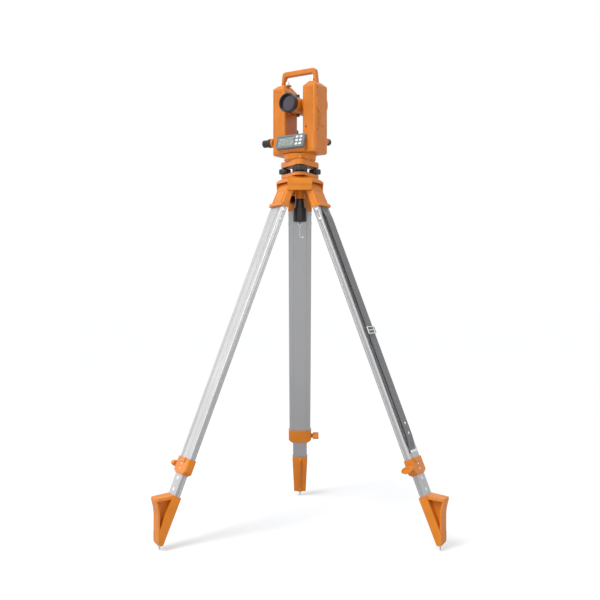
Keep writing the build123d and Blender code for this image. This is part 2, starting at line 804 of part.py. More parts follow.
def centre_screw():
    """Fixing screw: stud, sleeve, tapered neck and a fluted hand grip with an eye."""
    arm_low = canopy_z - GAP - ARM_THICK
    stud_top = HEAD_TOP + BASE_PLATE_H - STUD_SHORT
    screw = turned(
        [
            (0, GRIP_BOTTOM_Z),
            (GRIP_R, GRIP_BOTTOM_Z),
            (GRIP_R, GRIP_TOP_Z),
            (NECK_R, GRIP_TOP_Z),
            (NECK_TOP_R, NECK_TOP_Z),
            (SCREW_SLEEVE_R, NECK_TOP_Z),
            (SCREW_SLEEVE_R, arm_low - GAP),
            (STUD_R, arm_low - GAP),
            (STUD_R, stud_top),
            (0, stud_top),
        ]
    )
    rim = screw.edges().filter_by(GeomType.CIRCLE).group_by(Axis.Z)[0]
    screw = fillet(rim, GRIP_ROUND)
    shoulder = screw.edges().filter_by(GeomType.CIRCLE).filter_by(
        lambda e: abs(e.center().Z - GRIP_TOP_Z) < 0.01 and e.radius > NECK_R + OVER
    )
    screw = fillet(shoulder, GRIP_SHOULDER)
    screw = fluted(
        screw,
        GRIP_FLUTES,
        GRIP_R + GRIP_FLUTE_R - GRIP_FLUTE_DEEP,
        GRIP_FLUTE_R,
        GRIP_BOTTOM_Z + GRIP_ROUND,
        GRIP_TOP_Z + OVER,
    )
    eye = Pos(0, 0, HOOK_TOP_Z + EYE_R) * Rot(0, 90, 0) * Torus(EYE_R, EYE_WIRE_R)
    reach = 2 * EYE_R
    buried = block(-reach, reach, -reach, reach, 0, 2 * reach)
    eye -= Pos(0, 0, GRIP_BOTTOM_Z + EYE_BURY) * buried
    return screw + eye


def plumb_hook():
    """Wire hook that hangs in the eye of the centre screw."""
    wire = HOOK_WIRE_R
    loop_z = HOOK_TOP_Z + EYE_WIRE_R + wire + GAP - EYE_R
    loop = Pos(0, 0, loop_z) * Rot(90, 0, 0) * Torus(EYE_R, wire)
    stem_top = loop_z - EYE_R
    bend_z = HOOK_BOTTOM_Z + wire + HOOK_R
    path = Line((0, 0, stem_top), (0, 0, bend_z)) + ThreePointArc(
        (0, 0, bend_z), (HOOK_R, 0, bend_z - HOOK_R), (2 * HOOK_R, 0, bend_z)
    )
    stem = sweep(Plane((0, 0, stem_top), z_dir=(0, 0, -1)) * Circle(wire), path)
    return loop + stem


def rounded_triangle(thickness):
    """Three-cornered plate of the levelling base, with a corner at the front."""
    plan = offset(RegularPolygon(PLATE_CORNER_R, 3, rotation=-90), PLATE_ROUND)
    return extrude(plan, thickness)


def footscrew_spots():
    """Places of the three footscrews: front, right rear and left rear."""
    spots = {}
    for name, azimuth in (("front", 270), ("right", 30), ("left", 150)):
        angle = math.radians(azimuth)
        spots[name] = Pos(
            FOOTSCREW_R * math.cos(angle), FOOTSCREW_R * math.sin(angle), 0
        )
    return spots


def base_plate():
    """Lower plate of the levelling base, with a footscrew seat in each corner."""
    plate = rounded_triangle(BASE_PLATE_H)
    plate = chamfer(plate.faces().sort_by(Axis.Z)[-1].edges(), PLATE_CHAMFER)
    plate -= rod(STUD_R + FIT, -OVER, BASE_PLATE_H + OVER)
    for spot in footscrew_spots().values():
        plate -= spot * rod(
            STEM_FOOT_R + FIT, BASE_PLATE_H - STEM_FOOT_DEPTH, BASE_PLATE_H + OVER
        )
    return above_head * plate


def footscrew(spot):
    """Levelling screw: foot, fluted knob and stem up through the upper plate."""
    foot = BASE_PLATE_H - STEM_FOOT_DEPTH
    stem_top = TRIVET_HIGH_H - 2 * STEM_TOP_ROOM
    bevel = KNOB_BEVEL
    screw = turned(
        [
            (0, foot),
            (STEM_FOOT_R, foot),
            (STEM_FOOT_R, KNOB_LOW_H),
            (KNOB_R - bevel, KNOB_LOW_H),
            (KNOB_R, KNOB_LOW_H + bevel),
            (KNOB_R, KNOB_HIGH_H - bevel),
            (KNOB_R - bevel, KNOB_HIGH_H),
            (STEM_R, KNOB_HIGH_H),
            (STEM_R, stem_top),
            (0, stem_top),
        ]
    )
    flute_at = KNOB_R + KNOB_FLUTE_R - KNOB_FLUTE_DEEP
    screw = fluted(
        screw, KNOB_FLUTES, flute_at, KNOB_FLUTE_R, KNOB_LOW_H - OVER, KNOB_HIGH_H + OVER
    )
    return above_head * spot * screw


def spring_plate():
    """Spring plate that holds the upper plate down on the footscrews."""
    top = SPRING_PLATE_LOW_H + SPRING_PLATE_THICK
    post_top = TRIVET_LOW_H - SPRING_POST_GAP
    plate = turned(
        [
            (0, SPRING_PLATE_LOW_H),
            (SPRING_PLATE_R, SPRING_PLATE_LOW_H),
            (SPRING_PLATE_R, top),
            (SPRING_POST_R, top),
            (SPRING_POST_R, post_top - SPRING_POST_SLOPE),
            (SPRING_POST_TOP_R, post_top),
            (0, post_top),
        ]
    )
    return above_head * plate


def trivet():
    """Upper plate of the levelling base with the locking band on top."""
    plate = Pos(0, 0, TRIVET_LOW_H) * rounded_triangle(TRIVET_HIGH_H - TRIVET_LOW_H)
    plate = chamfer(plate.faces().sort_by(Axis.Z)[-1].edges(), PLATE_CHAMFER)
    plate += rod(BAND_R, TRIVET_HIGH_H - OVER, CIRCLE_LOW_H)
    bore_top = TRIVET_HIGH_H - STEM_TOP_ROOM
    for spot in footscrew_spots().values():
        plate -= spot * rod(STEM_R + STEM_TILT_ROOM, TRIVET_LOW_H - OVER, bore_top)
    return above_head * plate


def circle_housing():
    """Round housing of the horizontal circle, with the vertical axis spindle."""
    housing = turned(
        [
            (0, CIRCLE_LOW_H),
            (CIRCLE_LOW_R, CIRCLE_LOW_H),
            (CIRCLE_HIGH_R, CIRCLE_HIGH_H),
            (AXIS_R, CIRCLE_HIGH_H),
            (AXIS_R, AXIS_TOP_H),
            (0, AXIS_TOP_H),
        ]
    )
    hole = rod(LOCK_SHAFT_R + FIT, LOCK_SHAFT_IN - GAP, LOCK_FAR)
    housing -= Pos(0, 0, LOCK_H) * Rot(90, 0, 0) * hole
    return above_head * housing


def lock_knob():
    """Round locking knob at the front of the levelling base."""
    knob = rod(LOCK_R, LOCK_NEAR, LOCK_FAR)
    knob = fillet(knob.edges().group_by(Axis.Z)[-1], LOCK_ROUND)
    knob += rod(LOCK_SHAFT_R, LOCK_SHAFT_IN, LOCK_NEAR + OVER)
    return above_head * Pos(0, 0, LOCK_H) * Rot(90, 0, 0) * knob


def console_blank(thickness):
    """Leaning slab behind the face of the control panel."""
    plan = RectangleRounded(CONSOLE_W, CONSOLE_H, CONSOLE_CORNER)
    return console_face * Pos(0, 0, -thickness) * extrude(plan, thickness)


def console_seat():
    """Block that carries the control panel in front of the lower housing."""
    half = CONSOLE_H / 2
    low = (console_face * Pos(0, -half, -CONSOLE_THICK)).position
    high = (console_face * Pos(0, half, -CONSOLE_THICK)).position
    side = make_face(
        Polyline(
            (low.Y, low.Z),
            (high.Y, high.Z),
            (0, high.Z),
            (0, SEAT_BLOCK_LOW_H),
            (SEAT_BLOCK_TOE_Y, SEAT_BLOCK_LOW_H),
            close=True,
        )
    )
    return extrude(Plane.YZ * side, CONSOLE_W / 2 - SEAT_BLOCK_IN, both=True)


def alidade_base():
    """Lower housing of the alidade with the panel seat, knob seats and axis bore."""
    bottom = CIRCLE_HIGH_H + ALIDADE_SPLIT
    plan = RectangleRounded(BASE_W, BASE_D, BASE_CORNER)
    body = Pos(0, 0, bottom) * extrude(plan, BASE_TOP_H - bottom)
    body = chamfer(body.faces().sort_by(Axis.Z)[0].edges(), BASE_EDGE)
    ring = plan - offset(plan, -SPLIT_DEEP)
    body -= Pos(0, 0, SPLIT_H) * extrude(ring, SPLIT_W)
    body += console_seat()
    body -= console_blank(CONSOLE_THICK)
    boss = rod(CLAMP_R, BASE_W / 2 - BOSS_ROOT, BASE_W / 2 + SIDE_BOSS_OUT)
    body += Pos(0, SIDE_KNOB_Y, side_knob_h) * Rot(0, -90, 0) * boss
    shaft_deep = BASE_W / 2 + SIDE_BOSS_OUT - KNOB_SHAFT_IN
    shaft = rod(KNOB_SHAFT_R + FIT, shaft_deep, BASE_W)
    body -= Pos(0, SIDE_KNOB_Y, side_knob_h) * Rot(0, -90, 0) * shaft
    back = BASE_D / 2
    tip = back + PLUMMET_BOSS_OUT
    cone = turned(
        [
            (0, back - BOSS_ROOT),
            (PLUMMET_BOSS_R, back - BOSS_ROOT),
            (PLUMMET_BOSS_R, back),
            (PLUMMET_BOSS_TIP_R, tip),
            (0, tip),
        ]
    )
    body += Pos(PLUMMET_X, 0, plummet_h) * along_y(cone)
    socket = rod(PLUMMET_SHAFT_R + FIT, tip - PLUMMET_SHAFT_IN - GAP, tip + OVER)
    body -= Pos(PLUMMET_X, 0, plummet_h) * along_y(socket)
    body -= rod(AXIS_R + FIT, bottom - OVER, AXIS_TOP_H + GAP)
    return instrument * body


def standard(side):
    """One upright that carries the telescope; side is -1 for left and 1 for right."""
    width = STANDARD_OUT - STANDARD_IN
    middle = side * (STANDARD_IN + STANDARD_OUT) / 2
    plan = RectangleRounded(width, STANDARD_D, STANDARD_CORNER)
    body = Pos(middle, 0, BASE_TOP_H) * extrude(plan, STANDARD_TOP_H - BASE_TOP_H)
    body &= across(
        [
            (side * STANDARD_IN, BASE_TOP_H),
            (side * STANDARD_OUT, BASE_TOP_H),
            (side * STANDARD_OUT, STANDARD_TOP_H - EAVES_OUT_DROP),
            (side * PAD_OUT, STANDARD_TOP_H),
            (side * PAD_IN, STANDARD_TOP_H),
            (side * STANDARD_IN, STANDARD_TOP_H - EAVES_IN_DROP),
        ],
        STANDARD_D,
    )
    half = STANDARD_D / 2
    gable = make_face(
        Polyline(
            (-half, BASE_TOP_H),
            (half, BASE_TOP_H),
            (half, STANDARD_TOP_H - EAVES_FRONT_DROP),
            (PAD_D / 2, STANDARD_TOP_H),
            (-PAD_D / 2, STANDARD_TOP_H),
            (-half, STANDARD_TOP_H - EAVES_FRONT_DROP),
            close=True,
        )
    )
    body &= extrude(Plane.YZ * gable, STANDARD_OUT, both=True)
    for y in (-1, 1):
        step = block(
            STANDARD_STEP_X,
            STANDARD_OUT - STANDARD_CORNER,
            -STANDARD_STEP,
            STANDARD_STEP,
            BASE_TOP_H + STEP_MARGIN,
            STANDARD_TOP_H - EAVES_FRONT_DROP - STEP_MARGIN,
        )
        step = Pos(0, y * half, 0) * step
        body -= step if side > 0 else mirror(step, Plane.YZ)
    outward = Rot(0, 90 * side, 0)
    trunnion = Pos(0, 0, TRUNNION_H) * outward
    boss = rod(INNER_BOSS_R, STANDARD_IN - INNER_BOSS_OUT, STANDARD_IN + BOSS_ROOT)
    boss = chamfer(boss.edges().group_by(Axis.Z)[0], INNER_BOSS_EDGE)
    body += trunnion * boss
    cover_r = WIDE_COVER_R if side > 0 else COVER_R
    cover = rod(cover_r, STANDARD_OUT - BOSS_ROOT, STANDARD_OUT + COVER_OUT)
    body += trunnion * cover
    panel = Box(2 * PANEL_OUT, PANEL_W, PANEL_H)
    body += Pos(side * STANDARD_OUT, 0, TRUNNION_H - PANEL_MID_DROP) * panel
    bore_from = STANDARD_IN - INNER_BOSS_OUT - OVER
    bore = rod(TRUNNION_R + FIT, bore_from, TRUNNION_END + GAP)
    body -= trunnion * bore
    body -= Pos(side * HANDLE_SCREW_X, 0, 0) * rod(
        HANDLE_SCREW_SHAFT_R + FIT,
        STANDARD_TOP_H - HANDLE_SCREW_DEEP - GAP,
        STANDARD_TOP_H + OVER,
    )
    if side < 0:
        hole = rod(KNOB_SHAFT_R + FIT, half - KNOB_SHAFT_IN, STANDARD_D)
        body -= Pos(BACK_KNOB_X, 0, back_knob_h) * along_y(hole)
    return instrument * body


def console():
    """Control panel with a window recess and a well for each button."""
    body = console_blank(CONSOLE_THICK)
    recess = Pos(WINDOW_X, 0, -WINDOW_THICK - WINDOW_SUNK) * extrude(
        Rectangle(WINDOW_W + 2 * SEAT, WINDOW_H + 2 * SEAT), WINDOW_THICK + OVER
    )
    body -= console_face * recess
    depth = BUTTON_DEEP + BUTTON_TRAVEL + GAP
    for x in BUTTON_COLUMNS:
        for y in BUTTON_ROWS:
            well = Rectangle(BUTTON_W + 2 * GAP, BUTTON_H + 2 * GAP)
            body -= console_face * Pos(x, y, -depth) * extrude(well, depth + OVER)
    return instrument * body


def display_window():
    """Clear window of the display."""
    pane = extrude(Rectangle(WINDOW_W, WINDOW_H), WINDOW_THICK)
    return (
        instrument
        * console_face
        * Pos(WINDOW_X, 0, -WINDOW_THICK - WINDOW_SUNK)
        * pane
    )


def button(x, y):
    """One push button in its well."""
    face = RectangleRounded(BUTTON_W, BUTTON_H, BUTTON_CORNER)
    cap = extrude(face, BUTTON_DEEP + BUTTON_PROUD)
    return instrument * console_face * Pos(x, y, -BUTTON_DEEP) * cap


def ring_knob(radius, bore, low, high):
    """Fluted knob ring along Z."""
    bevel = RING_BEVEL
    ring = turned(
        [
            (bore, low),
            (radius, low),
            (radius, high - bevel),
            (radius - bevel, high),
            (bore, high),
        ]
    )
    flute_at = radius + RING_FLUTE_R - RING_FLUTE_DEEP
    return fluted(ring, RING_FLUTES, flute_at, RING_FLUTE_R, low - OVER, high + OVER)


def knob_pair(clamp_r, clamp_thick, tangent_r, seat, far):
    """Clamp ring and tangent knob on one shaft, built along Z from the seat face."""
    near = seat + GAP
    clamp = ring_knob(clamp_r, KNOB_SHAFT_R + FIT, near, near + clamp_thick)
    start = near + clamp_thick + GAP
    tangent = ring_knob(tangent_r, 0, start, far)
    tangent += rod(KNOB_SHAFT_R, seat - KNOB_SHAFT_IN + GAP, start + OVER)
    return clamp, tangent


def plummet_eyepiece():
    """Focusing eyepiece of the optical plummet."""
    seat = BASE_D / 2 + PLUMMET_BOSS_OUT
    piece = turned(
        [
            (0, seat - PLUMMET_SHAFT_IN),
            (PLUMMET_SHAFT_R, seat - PLUMMET_SHAFT_IN),
            (PLUMMET_SHAFT_R, seat + GAP),
            (PLUMMET_R, seat + GAP),
            (PLUMMET_R, PLUMMET_FAR - PLUMMET_BEVEL),
            (PLUMMET_R - PLUMMET_BEVEL, PLUMMET_FAR),
            (PLUMMET_R - PLUMMET_RIM, PLUMMET_FAR),
            (PLUMMET_R - PLUMMET_RIM - PLUMMET_BEVEL, PLUMMET_FAR - PLUMMET_DISH),
            (0, PLUMMET_FAR - PLUMMET_DISH),
        ]
    )
    return instrument * Pos(PLUMMET_X, 0, plummet_h) * along_y(piece)


def telescope_tube():
    """Telescope body with its trunnions, built along Z from eyepiece to objective."""
    body = turned(
        [
            (0, -TUBE_BACK),
            (TUBE_WAIST_R, -TUBE_BACK),
            (TUBE_WAIST_R, -BLOCK_HALF - BLOCK_EASE),
            (BLOCK_R, -BLOCK_HALF),
            (BLOCK_R, BLOCK_HALF),
            (TUBE_R, BLOCK_HALF + BLOCK_EASE),
            (TUBE_R, HOOD_BACK),
            (0, HOOD_BACK),
        ]
    )
    body += along_x(Cylinder(BOSS_R, 2 * BOSS_HALF))
    body += along_x(Cylinder(TRUNNION_R, 2 * TRUNNION_END))
    draw = rod(DRAW_R + FIT, -TUBE_BACK - OVER, -TUBE_BACK + DRAW_DEEP)
    return body - draw


def sights():
    """Peep sight above and below the tube."""
    rails = []
    back = SIGHT_FRONT - SIGHT_LENGTH
    for side, top in ((1, SIGHT_TOP), (-1, SIGHT_LOW)):
        rail = across(
            [
                (0, SIGHT_FRONT),
                (side * top, SIGHT_FRONT - SIGHT_SLOPE),
                (side * top, back + SIGHT_SLOPE),
                (0, back),
            ],
            SIGHT_W,
        )
        rails.append(Rot(0, 0, 90) * rail)
    return Compound(rails) - Cylinder(BLOCK_R, 2 * BLOCK_HALF)


def objective_hood():
    """Hood round the objective."""
    return turned(
        [
            (0, HOOD_BACK),
            (HOOD_R - HOOD_BACK_BEVEL, HOOD_BACK),
            (HOOD_R, HOOD_BACK + HOOD_BACK_BEVEL),
            (HOOD_R, HOOD_FRONT - HOOD_LIP),
            (HOOD_R - HOOD_LIP, HOOD_FRONT),
            (HOOD_R - HOOD_WALL, HOOD_FRONT),
            (LENS_R, HOOD_FRONT - LENS_SUNK),
            (LENS_R, HOOD_FRONT - LENS_SUNK - LENS_THICK),
            (0, HOOD_FRONT - LENS_SUNK - LENS_THICK),
        ]
    )


def objective_lens():
    """Domed objective lens."""
    back = HOOD_FRONT - LENS_SUNK - LENS_THICK
    front = back + LENS_THICK
    rim = (LENS_R, front - LENS_DOME)
    middle = (LENS_R / 2, front - LENS_MID_DOME)
    dome = make_face(
        Polyline(rim, (LENS_R, back), (0, back), (0, front))
        + ThreePointArc((0, front), middle, rim)
    )
    return revolve(Plane.XZ * dome, Axis.Z)


def focus_ring():
    """Ribbed focusing ring on the eyepiece end."""
    low = TUBE_BACK + GAP
    ring = turned(
        [
            (DRAW_R + FIT, -low),
            (FOCUS_R, -low),
            (FOCUS_R, -low - FOCUS_LENGTH + FOCUS_CHAMFER),
            (FOCUS_R - FOCUS_STEP, -low - FOCUS_LENGTH),
            (DRAW_R + FIT, -low - FOCUS_LENGTH),
        ]
    )
    flute_at = FOCUS_R + RING_FLUTE_R - RING_FLUTE_DEEP
    far = -low - FOCUS_LENGTH - OVER
    return fluted(ring, FOCUS_FLUTES, flute_at, RING_FLUTE_R, far, -low + OVER)


def eyepiece():
    """Eyepiece with its cup, on the draw tube."""
    near = TUBE_BACK + FOCUS_LENGTH + 2 * GAP
    far = near + EYEPIECE_LENGTH
    return turned(
        [
            (0, -TUBE_BACK + DRAW_DEEP - OVER),
            (DRAW_R, -TUBE_BACK + DRAW_DEEP - OVER),
            (DRAW_R, -near),
            (EYEPIECE_R, -near),
            (EYEPIECE_R, -near - EYEPIECE_LENGTH / 2),
            (EYEPIECE_CUP_R, -far),
            (EYEPIECE_CUP_R - CUP_RIM, -far),
            (EYEPIECE_CUP_R - CUP_RIM - OVER, -far + CUP_DISH),
            (0, -far + CUP_DISH),
        ]
    )


def handle_outline(top, foot, rise, corner):
    """Arch that narrows upwards, with its upper corners rounded."""
    low = STANDARD_TOP_H
    arch = make_face(
        Polyline(
            (-foot, low), (foot, low), (top, low + rise), (-top, low + rise), close=True
        )
    )
    return fillet(arch.vertices().group_by(Axis.Y)[-1], corner)


def handle():
    """Carrying handle with a screw foot on each standard."""
    low = STANDARD_TOP_H
    outer = handle_outline(HANDLE_HALF, HANDLE_FOOT_HALF, HANDLE_RISE, HANDLE_ROUND)
    inner = handle_outline(
        HANDLE_HALF - HANDLE_UPRIGHT,
        HANDLE_FOOT_HALF - HANDLE_UPRIGHT,
        HANDLE_RISE - HANDLE_BAR,
        HANDLE_INNER_ROUND,
    )
    foot_w = HANDLE_FOOT_HALF - HANDLE_FOOT_IN
    profile = outer - inner
    for side in (-1, 1):
        foot_x = side * (HANDLE_FOOT_HALF - foot_w / 2)
        foot = Pos(foot_x, low + HANDLE_FOOT / 2) * Rectangle(foot_w, HANDLE_FOOT)
        profile += foot & (outer + inner)
    body = extrude(Plane.XZ * profile, HANDLE_D / 2, both=True)
    rims = body.edges().filter_by(lambda e: abs(abs(e.center().Y) - HANDLE_D / 2) < 0.01)
    clear = low + HANDLE_FOOT + HANDLE_EDGE_RISE
    rims = rims.filter_by(lambda e: e.center().Z > clear)
    body = chamfer(rims, HANDLE_EDGE)
    for side in (-1, 1):
        body -= Pos(side * HANDLE_SCREW_X, 0, 0) * rod(
            HANDLE_SCREW_SHAFT_R + FIT, low - OVER, low + HANDLE_FOOT + OVER
        )
    return instrument * body


def handle_screws():
    """The two hand screws that hold the handle."""
    seat = STANDARD_TOP_H + HANDLE_FOOT
    screws = []
    for side in (-1, 1):
        screw = rod(HANDLE_SCREW_R, seat, seat + HANDLE_SCREW_H)
        screw = chamfer(screw.edges().group_by(Axis.Z)[-1], RING_BEVEL)
        screw += rod(
            HANDLE_SCREW_SHAFT_R, STANDARD_TOP_H - HANDLE_SCREW_DEEP, seat + OVER
        )
        screws.append(instrument * Pos(side * HANDLE_SCREW_X, 0, 0) * screw)
    return Compound(screws)


pieces = {"tripod_head": tripod_head(), "hinge_pins": hinge_pins()}

for leg, azimuth in LEG_AZIMUTHS.items():
    turn = Rot(0, 0, azimuth)
    along_leg = turn * radial
    pieces[f"bracket_{leg}"] = along_leg * leg_bracket()
    pieces[f"upper_leg_{leg}"] = along_leg * upper_leg()
    pieces[f"collar_{leg}"] = along_leg * leg_collar()
    pieces[f"wing_screw_{leg}"] = along_leg * wing_screw()
    pieces[f"inner_leg_{leg}"] = along_leg * inner_leg()
    pieces[f"shoe_{leg}"] = turn * shoe()
    pieces[f"foot_point_{leg}"] = turn * foot_point()

right_leg = Rot(0, 0, LEG_AZIMUTHS["right"]) * radial
pieces["strap"] = right_leg * strap()
pieces["strap_fittings"] = right_leg * strap_fittings()
pieces["screw_arm"] = screw_arm()
pieces["centre_screw"] = centre_screw()
pieces["plumb_hook"] = plumb_hook()

pieces["base_plate"] = base_plate()
for name, spot in footscrew_spots().items():
    pieces[f"footscrew_{name}"] = footscrew(spot)
pieces["spring_plate"] = spring_plate()
pieces["trivet"] = trivet()
pieces["circle_housing"] = circle_housing()
pieces["lock_knob"] = lock_knob()

pieces["alidade_base"] = alidade_base()
pieces["standard_left"] = standard(-1)
pieces["standard_right"] = standard(1)
pieces["console"] = console()
pieces["display_window"] = display_window()
for i, x in enumerate(BUTTON_COLUMNS):
    for j, y in enumerate(BUTTON_ROWS):
        pieces[f"button_{i + 1}{j + 1}"] = button(x, y)

side_seat = BASE_W / 2 + SIDE_BOSS_OUT
clamp, tangent = knob_pair(CLAMP_R, CLAMP_THICK, TANGENT_R, side_seat, side_knob_far)
side_place = instrument * Pos(0, SIDE_KNOB_Y, side_knob_h) * Rot(0, -90, 0)
pieces["h_clamp"] = side_place * clamp
pieces["h_tangent"] = side_place * tangent
clamp, tangent = knob_pair(
    BACK_CLAMP_R, BACK_CLAMP_THICK, BACK_TANGENT_R, STANDARD_D / 2, BACK_KNOB_FAR
)
back_place = instrument * Pos(BACK_KNOB_X, 0, back_knob_h) * Rot(-90, 0, 0)
pieces["v_clamp"] = back_place * clamp
pieces["v_tangent"] = back_place * tangent
pieces["plummet_eyepiece"] = plummet_eyepiece()

telescope = instrument * Pos(0, 0, TRUNNION_H) * Rot(90, 0, 0)
pieces["telescope_tube"] = telescope * telescope_tube()
pieces["sights"] = telescope * sights()
pieces["objective_hood"] = telescope * objective_hood()
pieces["objective_lens"] = telescope * objective_lens()
pieces["focus_ring"] = telescope * focus_ring()
pieces["eyepiece"] = telescope * eyepiece()
pieces["handle"] = handle()
pieces["handle_screws"] = handle_screws()

os.makedirs("parts", exist_ok=True)
for name, piece in pieces.items():
    export_step(piece, f"parts/{name}.step")
print(len(pieces), "pieces")
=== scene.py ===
# %% [markdown]
# An electronic theodolite on its extending tripod, dressed for a studio picture.
# The construction comes from a fixed frame, so this lesson is about surfaces: how cast paint,
# extruded aluminium, moulded plastic, webbing and glass are told apart by their edges and gloss.

# %% Load the frame
import json
import math

import bmesh
import bpy
from mathutils import Matrix, Vector


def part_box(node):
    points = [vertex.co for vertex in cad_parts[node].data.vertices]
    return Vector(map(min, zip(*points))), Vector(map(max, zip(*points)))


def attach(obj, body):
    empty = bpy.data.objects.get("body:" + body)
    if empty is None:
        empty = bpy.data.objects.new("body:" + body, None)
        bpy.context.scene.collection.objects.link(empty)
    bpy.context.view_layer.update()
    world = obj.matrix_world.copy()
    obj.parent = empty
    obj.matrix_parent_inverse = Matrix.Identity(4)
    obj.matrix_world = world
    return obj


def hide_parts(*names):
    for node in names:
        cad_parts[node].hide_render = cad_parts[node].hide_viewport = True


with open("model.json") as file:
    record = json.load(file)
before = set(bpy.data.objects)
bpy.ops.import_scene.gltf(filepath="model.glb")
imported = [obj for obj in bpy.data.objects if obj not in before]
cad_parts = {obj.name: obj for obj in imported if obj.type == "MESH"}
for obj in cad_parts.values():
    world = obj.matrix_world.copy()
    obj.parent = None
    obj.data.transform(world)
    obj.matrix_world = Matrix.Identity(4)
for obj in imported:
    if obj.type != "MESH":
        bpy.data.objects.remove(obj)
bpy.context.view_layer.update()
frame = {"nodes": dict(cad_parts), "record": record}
bodies_of = {
    node: body
    for body, nodes in frame["record"]["behaviour"]["bodies"].items()
    for node in nodes
}
print("frame", len(frame["nodes"]), "nodes")

# %% [markdown]
# A shader tree is easier to read when a finish is built from a few small steps.
# These helpers add a node and join sockets, so that each finish below reads as a recipe.

# %% Helpers for finishes
def new_finish(name):
    """A material with its tree, its shader and a coordinate node."""
    finish = bpy.data.materials.new(name)
    finish.use_nodes = True
    tree = finish.node_tree
    shader = tree.nodes["Principled BSDF"]
    place = tree.nodes.new("ShaderNodeTexCoord")
    return finish, tree, shader, place


def stretch(tree, place, scale, socket="Object"):
    """Object coordinates scaled along each axis."""
    mapping = tree.nodes.new("ShaderNodeMapping")
    mapping.inputs["Scale"].default_value = scale
    tree.links.new(place.outputs[socket], mapping.inputs["Vector"])
    return mapping.outputs["Vector"]


def noise(tree, vector, scale, detail=4.0, roughness=0.55):
    """Soft cloud noise as one grey value."""
    node = tree.nodes.new("ShaderNodeTexNoise")
    node.inputs["Scale"].default_value = scale
    node.inputs["Detail"].default_value = detail
    node.inputs["Roughness"].default_value = roughness
    tree.links.new(vector, node.inputs["Vector"])
    return node.outputs["Fac"]


def ramp(tree, value, stops):
    """Colours along a grey value; stops are (position, colour)."""
    node = tree.nodes.new("ShaderNodeValToRGB")
    elements = node.color_ramp.elements
    while len(elements) < len(stops):
        elements.new(0.5)
    for element, (position, colour) in zip(elements, stops):
        element.position = position
        element.color = (*colour, 1.0)
    tree.links.new(value, node.inputs["Fac"])
    return node.outputs["Color"]


def spread(tree, value, low, high, from_low=0.3, from_high=0.7):
    """A grey value moved into another range."""
    node = tree.nodes.new("ShaderNodeMapRange")
    node.inputs["From Min"].default_value = from_low
    node.inputs["From Max"].default_value = from_high
    node.inputs["To Min"].default_value = low
    node.inputs["To Max"].default_value = high
    tree.links.new(value, node.inputs["Value"])
    return node.outputs["Result"]


def relief(tree, shader, value, strength, distance, below=None):
    """Bump from a grey value; more than one can be stacked."""
    bump = tree.nodes.new("ShaderNodeBump")
    bump.inputs["Strength"].default_value = strength
    bump.inputs["Distance"].default_value = distance
    tree.links.new(value, bump.inputs["Height"])
    if below is not None:
        tree.links.new(below, bump.inputs["Normal"])
    tree.links.new(bump.outputs["Normal"], shader.inputs["Normal"])
    return bump.outputs["Normal"]


# %% [markdown]
# The housings and castings are sprayed with one orange paint. Real sprayed metal is never flat:
# it has a fine orange-peel skin, slightly uneven gloss, and worn light edges where hands reach.
# Two noises make the peel and the tone, and a third moves the gloss a little.

# %% Sprayed orange paint
def orange_paint(name, tone, gloss):
    finish, tree, shader, place = new_finish(name)
    spot = stretch(tree, place, (1, 1, 1))
    cloud = noise(tree, spot, 18.0, 3.0)
    deep = tuple(c * 0.90 for c in tone)
    pale = tuple(min(1.0, c * 1.07) for c in tone)
    colour = ramp(tree, cloud, [(0.3, deep), (0.7, pale)])
    tree.links.new(colour, shader.inputs["Base Color"])
    peel = noise(tree, spot, 900.0, 2.0)
    relief(tree, shader, peel, 0.10, 0.0004)
    scuff = noise(tree, spot, 60.0, 6.0, 0.7)
    tree.links.new(spread(tree, scuff, gloss - 0.06, gloss + 0.10), shader.inputs["Roughness"])
    shader.inputs["Specular IOR Level"].default_value = 0.35
    shader.inputs["Coat Weight"].default_value = 0.12
    shader.inputs["Coat Roughness"].default_value = 0.25
    return finish


HOUSING_ORANGE = (0.60, 0.172, 0.009)
CASTING_ORANGE = (0.64, 0.190, 0.008)
housing_paint = orange_paint("housing_paint", HOUSING_ORANGE, 0.38)
casting_paint = orange_paint("casting_paint", CASTING_ORANGE, 0.45)

# %% [markdown]
# The legs are drawn aluminium profiles. The drawing die leaves long fine lines down the profile,
# so the noise is squeezed hard along the leg. Each leg leans another way, and the pattern has to lie
# along it, so the coordinates are turned by the leg's azimuth and tilt first.

# %% Drawn aluminium
LEG_TILT = math.radians(22.13)
LEG_AZIMUTHS = {"rear": 90, "left": 210, "right": 330}


def drawn_aluminium(name, azimuth, tone, gloss):
    finish, tree, shader, place = new_finish(name)
    turn = tree.nodes.new("ShaderNodeMapping")
    turn.inputs["Rotation"].default_value = (0, 0, -math.radians(azimuth))
    tree.links.new(place.outputs["Object"], turn.inputs["Vector"])
    lean = tree.nodes.new("ShaderNodeMapping")
    lean.inputs["Rotation"].default_value = (0, LEG_TILT, 0)
    lean.inputs["Scale"].default_value = (1, 1, 0.012)
    tree.links.new(turn.outputs["Vector"], lean.inputs["Vector"])
    lines = noise(tree, lean.outputs["Vector"], 900.0, 3.0, 0.6)
    clouds = noise(tree, place.outputs["Object"], 9.0, 4.0, 0.6)
    pale = tuple(min(1.0, c * 1.05) for c in tone)
    colour = ramp(tree, lines, [(0.3, tuple(c * 0.93 for c in tone)), (0.7, pale)])
    tree.links.new(colour, shader.inputs["Base Color"])
    shader.inputs["Metallic"].default_value = 0.9
    tree.links.new(spread(tree, clouds, gloss - 0.05, gloss + 0.08), shader.inputs["Roughness"])
    relief(tree, shader, lines, 0.12, 0.0002)
    return finish


